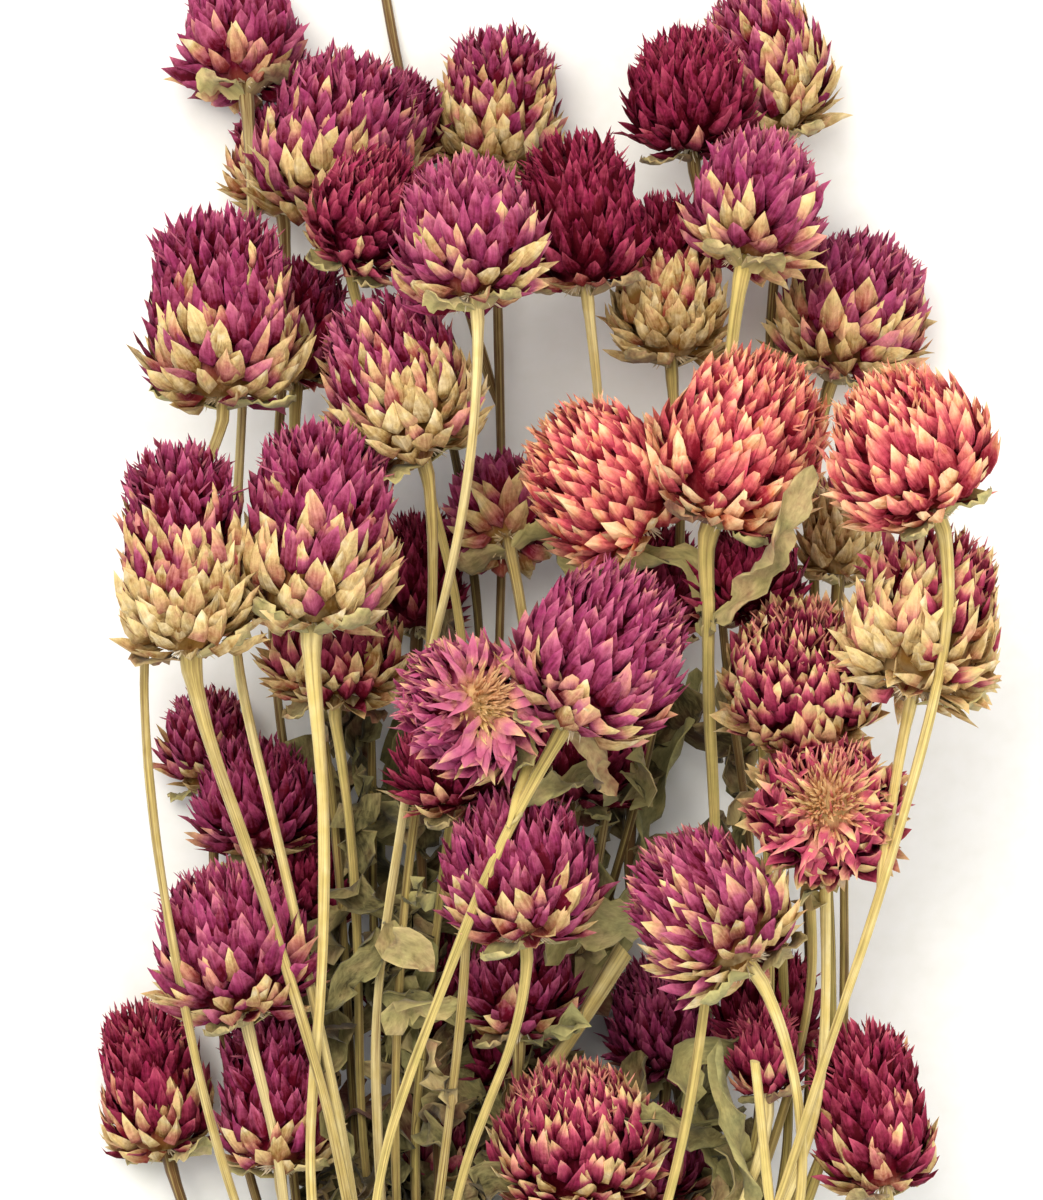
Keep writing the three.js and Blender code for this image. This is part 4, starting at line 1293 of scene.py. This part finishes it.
    def leaf(self, line: Array, width: float, lit: float) -> Skin:
        """A dried stem leaf, twisted, rolled and crinkled, along a line.

        Its half width at s along it is s to the 0.75 times the root of 1 less s, its middle line,
        twist and rolling follow slow sines, and the first two grow with its length.

        Args:
            line: points from the stem to the leaf's tip.
            width: greatest width.
            lit: how light it is.

        Returns:
            Its skin.
        """
        draw = self.random
        curve, at = flowing(line, 1.5)
        s = at / at[-1]
        _, side, face = frames_along(curve)
        wave = s * (1 - s) * 4 * (0.5 + 0.035 * at[-1])
        for speed, way in ((9, face), (7, side)):
            curve = curve + (wave * np.sin(s * speed + draw.uniform(0, 6)))[:, None] * way
        twist = 0.2 + 0.02 * at[-1]
        turn = draw.normal(0, 0.5) + draw.normal(0, 0.9) * s + twist * np.sin(s * 8 + draw.uniform(0, 6))
        face = turned(face, side, turn)
        shape = s**0.75 * (1 - s) ** 0.5
        uneven = 1 + 0.1 * np.sin(at * 1.1 + turn[0]) + 0.07 * np.sin(at * 2.3 + turn[-1])
        half = width / 2 * (0.1 * (1 - s) + shape / shape.max()) * uneven
        half[-1] = 0.05
        spans = ((0.4, 1.1), (0.5, 1.1), (4, 8), (0, 6))
        mean, swing, speed, phase = (draw.uniform(*span) for span in spans)
        curl = mean + swing * np.sin(s * speed + phase)
        curl = np.sign(curl) * np.maximum(np.abs(curl), 0.15)
        age = draw.uniform(0.1, 0.6) + 0.5 * max(0.4 - lit, 0) * draw.uniform(0, 2)
        return self.blade(curve, face, half, curl, 0.7, age, lit)

    def build(self, stem: bpy.types.Material, leaf: bpy.types.Material) -> bpy.types.Object:
        """Joins the stalk's skins into one piece.

        Args:
            stem: material of the stems.
            leaf: material of the leaves.

        Returns:
            The piece.
        """
        skins = []
        for route, head, is_main in self.routes:
            if head is None and self.number not in STALKS_WITH_STUBS:
                raised = LEAF_ARCH * np.sin(np.linspace(0, 2.6, len(route.line)))[:, None] * UP
                skins.append(self.leaf(route.line[::-1] + raised, self.LEAF_WIDTH, 0.6))
                continue
            skins.append(self.stem(route, head, is_main))
            if head is not None:
                skins.extend(self.collar(head))
        skins.extend(self.leaf(*extra) for extra in self.extra_leaves)
        skins.extend(self.stem(Route(line, True), None, False, STOUT_RADIUS) for line in self.stout_stems)
        return piece(f"amaranth_stalk_{self.number:02d}", skins, [stem, leaf], [self.node])


STALK_MAINS = (14, 18, 19, 33, 7, 30, 37, 6, 8, 21, 39, 22, 28)
STALKS_WITH_STUBS = (8, 12)
FRONT_COLLARS = (1, 4, 6, 7, 10, 11, 13, 19, 21, 22)
STEM_WIDTHS = {
    1: 2.2, 7: 1.9, 11: 2.4, 13: 1.9, 16: 2.0, 18: 3.0, 19: 2.9, 21: 2.9, 22: 2.2, 30: 2.1, 39: 1.9
}
LEAF_NUMBER = 1
LEAF_ARCH = 4.5
STOUT_RADIUS = 1.6


# What lies deep in the bunch

# The page's middle and the tie in squares, and a square in millimetres
PAGE_MIDDLE = (52.15, 60.0)
TIE_SQUARE = (47.0, -72.0)
SQUARE = 1.6


def middle_of(node: str) -> tuple[Array, Array]:
    """The middle and the size of a CAD node's box."""
    low, high = (np.array(corner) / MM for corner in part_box(node))
    return (low + high) / 2, high - low


@dataclass(frozen=True)
class Sheet:
    """The page that the bunch was laid out on, in squares of 1.6 mm, placed by the tie."""

    corner: tuple[float, float]

    @staticmethod
    def read() -> "Sheet":
        """Finds the page's corner from the tie's CAD node."""
        tie, _ = middle_of(TwineTie.NODE)
        return Sheet((tie[0] - TIE_SQUARE[0] * SQUARE, tie[1] - TIE_SQUARE[1] * SQUARE))

    def at(self, across: float, up: float, height: float = 0.0) -> Array:
        """The place of a square, at a height in millimetres."""
        return np.array([self.corner[0] + across * SQUARE, self.corner[1] + up * SQUARE, height])


@dataclass(frozen=True)
class LeafSpot:
    """A stem leaf by the squares of its root and tip, its heights, its width and how light it is."""

    root: tuple[float, float]
    tip: tuple[float, float]
    heights: tuple[float, float]
    width: float
    lit: float


# The two that lie deepest, near 20 mm up, are the darkest, as painted shade under the stems.
LEAF_SPOTS = (
    LeafSpot((38.0, 27.5), (43.5, 23.0), (44, 46), 6.0, 0.55),
    LeafSpot((43.0, 21.5), (38.6, 16.6), (40, 38), 5.5, 0.55),
    LeafSpot((43.5, 28.5), (41.0, 32.5), (36, 40), 3.5, 0.6),
    LeafSpot((60.0, 30.0), (54.5, 23.5), (40, 38), 9.0, 0.7),
    LeafSpot((60.5, 19.0), (55.0, 17.0), (34, 40), 4.5, 0.65),
    LeafSpot((57.5, 47.5), (61.6, 40.5), (56, 50), 4.5, 0.65),
    LeafSpot((77.0, 30.0), (84.0, 32.5), (44, 50), 6.5, 0.7),
    LeafSpot((72.5, 36.0), (75.5, 41.0), (36, 40), 6.0, 0.5),
    LeafSpot((66.0, 39.0), (63.5, 46.5), (30, 34), 7.0, 0.5),
    LeafSpot((49.5, 37.5), (54.0, 31.0), (20, 24), 8.0, 0.3),
    LeafSpot((35.0, 30.0), (31.5, 24.0), (22, 20), 7.0, 0.4),
    LeafSpot((68.5, 17.0), (69.5, 8.5), (30, 34), 7.0, 0.65),
)

STOUT_STEM = ((62.5, 25.0), (58.5, 18.5), (54.0, 11.5))
STOUT_HEIGHT = 26.0

# Number, square, width, length, heading in degrees and height of each side flower
SIDE_FLOWERS = (
    (51, (43.0, 20.0), 17.0, 19.0, 6.0, 8.6),
    (52, (50.3, 15.5), 17.0, 18.0, -8.0, 8.6),
    (53, (77.2, 19.0), 15.0, 17.0, 5.0, 18.0),
    (54, (30.2, 31.4), 14.0, 16.0, 0.0, 14.0),
    (55, (58.6, 44.5), 17.0, 19.0, 10.0, 20.0),
    (56, (65.0, 61.5), 16.0, 18.0, 4.0, 16.0),
)


@dataclass(frozen=True)
class LeafLayer:
    """Ranges that a layer of deep leaves is drawn from: lengths, widths, heights and how light."""

    count: int
    lengths: tuple[float, float]
    widths: tuple[float, float]
    lit: tuple[float, float]
    heights: tuple[float, float] | None = None


# Both layers are kept dark, the lower one darkest, as painted shade deep among the stems.
UPPER_LEAVES = LeafLayer(85, (9, 20), (4.0, 8.0), (0.1, 0.5))
LOWER_LEAVES = LeafLayer(115, (14, 26), (6.0, 10.0), (-0.1, 0.3), (3, 20))


@dataclass
class Depths:
    """The small dark side flowers and the leaves between the stems."""

    sheet: Sheet
    stalks: list[Stalk]

    LEAFY = ((29, -26), (76, 48))
    DEEP = 40.0
    LOWEST = 3.0

    def __post_init__(self) -> None:
        """Gathers points along all stems, so that a leaf or side stem starts on one."""
        self.random = np.random.default_rng(7)
        routes = [(stalk, route) for stalk in self.stalks for route, head, _ in stalk.routes if head]
        lines = [(stalk, flowing(route.line, 3.0)[0]) for stalk, route in routes]
        self.points = np.concatenate([line for _, line in lines])
        self.owners = [stalk for stalk, line in lines for _ in range(len(line))]

    def nearest(self, place: Array) -> tuple[Stalk, Array]:
        """The stem point nearest to a place, and its stalk."""
        index = int(np.argmin(np.linalg.norm(self.points - place, axis=1)))
        return self.owners[index], self.points[index]

    def leaves(self) -> None:
        """Gives each placed leaf, and the stout snapped stem, to the stalk that it starts on."""
        for spot in LEAF_SPOTS:
            squares = zip((spot.root, spot.tip), spot.heights)
            root, tip = (self.sheet.at(*square, height) for square, height in squares)
            stalk, start = self.nearest(root)
            middle = (root + tip) / 2 + np.array([0, 0, 1.5])
            stalk.extra_leaves.append((np.array([start, middle, tip]), spot.width, spot.lit))
        course = [self.sheet.at(*place, STOUT_HEIGHT) for place in STOUT_STEM]
        stalk, join = self.nearest(course[-1])
        stalk.stout_stems.append(np.array([*course, join + np.array([0, -6, 0])]))

    def scatter(self) -> None:
        """Scatters the layers of deep leaves over the stems, in the leafy part of the page."""
        draw = self.random
        low, high = (self.sheet.at(*square)[:2] for square in self.LEAFY)
        flat = self.points[:, :2]
        inside = (flat > low).all(1) & (flat < high).all(1) & (self.points[:, 2] < self.DEEP)
        deep = np.flatnonzero(inside)
        for layer in (UPPER_LEAVES, LOWER_LEAVES):
            for index in draw.choice(deep, min(layer.count, len(deep)), replace=False):
                start = self.points[index]
                heading = math.radians(draw.normal(0, 55))
                length = draw.uniform(*layer.lengths)
                step = np.array([math.sin(heading), math.cos(heading), draw.uniform(-0.25, 0.15)]) * length
                if not low[0] < start[0] + step[0] < high[0]:
                    step[0] = -step[0]
                line = np.array([start, start + step * 0.5 + draw.normal(0, 1.5, 3), start + step])
                if layer.heights:
                    line[1:, 2] = draw.uniform(*layer.heights, 2)
                line[:, 2] = np.maximum(line[:, 2], self.LOWEST)
                extra = (line, draw.uniform(*layer.widths), draw.uniform(*layer.lit))
                self.owners[index].extra_leaves.append(extra)

    def flowers(self) -> list[FlowerHead]:
        """Makes the side flowers and gives their stems to the stalks that they grow on.

        Returns:
            The flowers' heads.
        """
        made = []
        for number, place, width, length, heading, height in SIDE_FLOWERS:
            turn = math.radians(heading)
            aim = unit(np.array([math.sin(turn), math.cos(turn), 0.1]))
            bloom = Bloom(number, Dye.CRIMSON, 0.0, 0.1, 0.05, 0.3, 0.25, 0.5)
            head = FlowerHead(bloom, self.sheet.at(*place, height), aim, length / 2, width / 2)
            near, half_way, low = (head.base - aim * reach for reach in (8, 20, 34))
            stalk, join = self.nearest(low)
            line = np.array([head.base, near, (half_way + join) / 2, join, join + np.array([0, -8, 0])])
            stalk.routes.append((Route(line, True), head, False))
            made.append(head)
        return made


# Tie


@dataclass
class TwineTie:
    """Natural twine wound round the bunch, two plies twisted together, with a knot and two ends."""

    stalks: list[Stalk]
    turns: float = 6.5
    ply_radius: float = 0.46
    lay: float = 3.4

    NODE = "twine_tie"
    TWINE = 1.7
    SIDES = 7

    def outline(self, middle: Array) -> Array:
        """A band pulled tight round the stems, as they lie in the tie.

        In each direction the band touches the stem that reaches farthest that way, and its place is
        that stem's middle plus the direction times a stem's radius and half the twine.

        Args:
            middle: the tie's middle.

        Returns:
            (n, 2) places across and up, once round from the top, the last the same as the first.
        """
        held = []
        for stalk in self.stalks:
            line = stalk.routes[0][0].line[::-1]
            line = line[line[:, 1] < middle[1] + 20]
            held.append([np.interp(middle[1], line[:, 1], line[:, axis]) for axis in (0, 2)])
        angle = math.pi / 2 + np.linspace(0, FULL_TURN, 361)
        way = np.stack([np.cos(angle), np.sin(angle)], -1)
        farthest = np.argmax(way @ np.array(held).T, axis=1)
        return np.array(held)[farthest] + way * (Stalk.TIED_WIDTH + self.TWINE) / 2

    def ply(self, line: Array, phase: float) -> Skin:
        """One ply, a round strand that winds about the twine's middle line.

        The strand's middle lies off the line by most of ply_radius, at an angle that grows by one turn
        in each lay.

        Args:
            line: (s, 3) middle line of the twine with even steps.
            phase: angle at which the ply starts.

        Returns:
            The ply's skin.
        """
        _, side, face = frames_along(line, np.array([0.03, 1.0, 0.02]))
        at = distances(line)
        middle = line + turned(side, face, phase + at * FULL_TURN / self.lay) * self.ply_radius * 0.85
        around = np.arange(self.SIDES) * FULL_TURN / self.SIDES
        ring = turned(side[:, None], face[:, None], around) * self.ply_radius
        return swept(middle[None], ring[None], 0.5, 0.5, (around * 0.5, at[:, None], phase * 5))

    def build(self, twine: bpy.types.Material) -> bpy.types.Object:
        """Winds the twine and ties the knot.

        The knot is a curve of three sines a side, as a trefoil is drawn.

        Args:
            twine: the twine's material.

        Returns:
            The piece.
        """
        middle, size = middle_of(self.NODE)
        reach = size[1] / 2 - 0.7
        band = self.outline(middle)
        far = distances(band)
        t = np.linspace(0, 1, 700)
        place = t * self.turns * far[-1] % far[-1]
        across, up = (np.interp(place, far, column) for column in band.T)
        wound = np.stack([across, middle[1] + reach * (2 * t - 1), up], -1)
        top = np.array([middle[0], middle[1], band[:, 1].max()])
        k = np.linspace(0, FULL_TURN, 90)
        flat = np.sin(k) + 1.4 * np.sin(2 * k), np.cos(k) - 1.4 * np.cos(2 * k)
        lines = [wound, top + np.stack([*flat, 1.7 - np.sin(3 * k) * 0.8], -1)]
        for sign in (1, -1):
            bend, drop = (2.6 * sign, -3 * sign, 1.4), (5 * sign, -8, -0.6)
            way = np.array([(0, 0, 1.2), bend, drop, (6.8 * sign, 2 * sign - 14, -3)])
            lines.append(flowing(top + way, 0.5)[0])
        skins = [self.ply(line, phase) for line in lines for phase in (0.0, math.pi)]
        return piece("twine_tie_wound", skins, [twine], [self.NODE])


# Setting


@dataclass
class Setting:
    """Floor, light and camera, about the middle of the page."""

    middle: Array
    height: float = 192.0
    away: float = 3.0

    TARGET_HEIGHT = 0.03
    FLOOR_HALF = 3.0
    SKY = 0.83
    LAMPS = (("window", (-0.4, 0.65, 1.55), 1.1, 26.0), ("bounce", (0.8, -0.3, 1.2), 1.2, 8.5))

    def floor(self) -> None:
        """A plain pale board with a matt painted surface, very slightly uneven in shade and height."""
        made = blank("matt_white_painted_board")
        tree = made.node_tree
        place = add(tree, "TexCoord", out="Object")
        noise = add(tree, "TexNoise", {"Vector": place, "Scale": 260.0, "Detail": 3.0})
        tint = add(tree, "ValToRGB", {0: noise}, [(0.3, "F8F9F3"), (0.7, "FDFEFA")])
        bump = add(tree, "Bump", {"Height": noise, "Strength": 0.15, "Distance": 0.4 * MM})
        skin = add(tree, "BsdfPrincipled", {"Base Color": tint, "Roughness": 0.8, "Normal": bump})
        add(tree, "OutputMaterial", {"Surface": skin})
        side = self.FLOOR_HALF
        mesh = bpy.data.meshes.new("pale_floor")
        corners = [(-side, -side, 0), (side, -side, 0), (side, side, 0), (-side, side, 0)]
        mesh.from_pydata(corners, [], [(0, 1, 2, 3)])
        mesh.materials.append(made)
        board = placed("pale_floor", mesh)

    def light(self) -> None:
        """Soft daylight from the upper left, and an even sky."""
        world = bpy.data.worlds.new("soft_sky")
        world.use_nodes = True
        sky = world.node_tree.nodes["Background"].inputs
        sky[0].default_value = linear("F4F7FF")
        sky[1].default_value = self.SKY
        bpy.context.scene.world = world
        target = Vector((*self.middle * MM, self.TARGET_HEIGHT))
        for name, place, size, power in self.LAMPS:
            lamp = bpy.data.lights.new(name, "AREA")
            lamp.size = size
            lamp.energy = power
            lamp.color = linear("FFF8EC")[:3]
            made = placed(name, lamp)
            made.location = place
            made.rotation_mode = "QUATERNION"
            made.rotation_quaternion = (target - Vector(place)).to_track_quat("-Z", "Y")

    def camera(self) -> None:
        """A long lens straight above, so that tall heads keep their places."""
        lens = bpy.data.cameras.new("camera")
        lens.sensor_width = 36.0
        lens.lens = lens.sensor_width * self.away / (self.height * MM)
        lens.clip_end = 40.0
        made = placed("camera", lens)
        made.location = (*self.middle * MM, self.away + self.TARGET_HEIGHT)
        bpy.context.scene.camera = made

    def build(self) -> None:
        """Sets up floor, light, camera and plain colours."""
        self.floor()
        self.light()
        self.camera()
        bpy.context.scene.view_settings.view_transform = "Standard"


def main() -> None:
    """Builds the bunch piece by piece, then the setting."""
    logging.basicConfig(level=logging.INFO, format="%(name)s %(message)s")
    bracts = {dye: finish.build() for dye, finish in BRACT_FINISHES.items()}
    stem, leaf, twine = STEM_FINISH.build(), LEAF_FINISH.build(), TWINE_FINISH.build()
    heads = {bloom.number: FlowerHead.read(bloom) for bloom in BLOOMS}
    sheet = Sheet.read()
    stalks = [Stalk(number, main_head, heads) for number, main_head in enumerate(STALK_MAINS, start=1)]
    depths = Depths(sheet, stalks)
    depths.leaves()
    depths.scatter()
    for head in list(heads.values()) + depths.flowers():
        head.build(bracts)
    for stalk in stalks:
        stalk.build(stem, leaf)
    TwineTie(stalks).build(twine)
    Setting(sheet.at(*PAGE_MIDDLE)[:2]).build()
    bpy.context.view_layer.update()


if __name__ == "__main__":
    main()
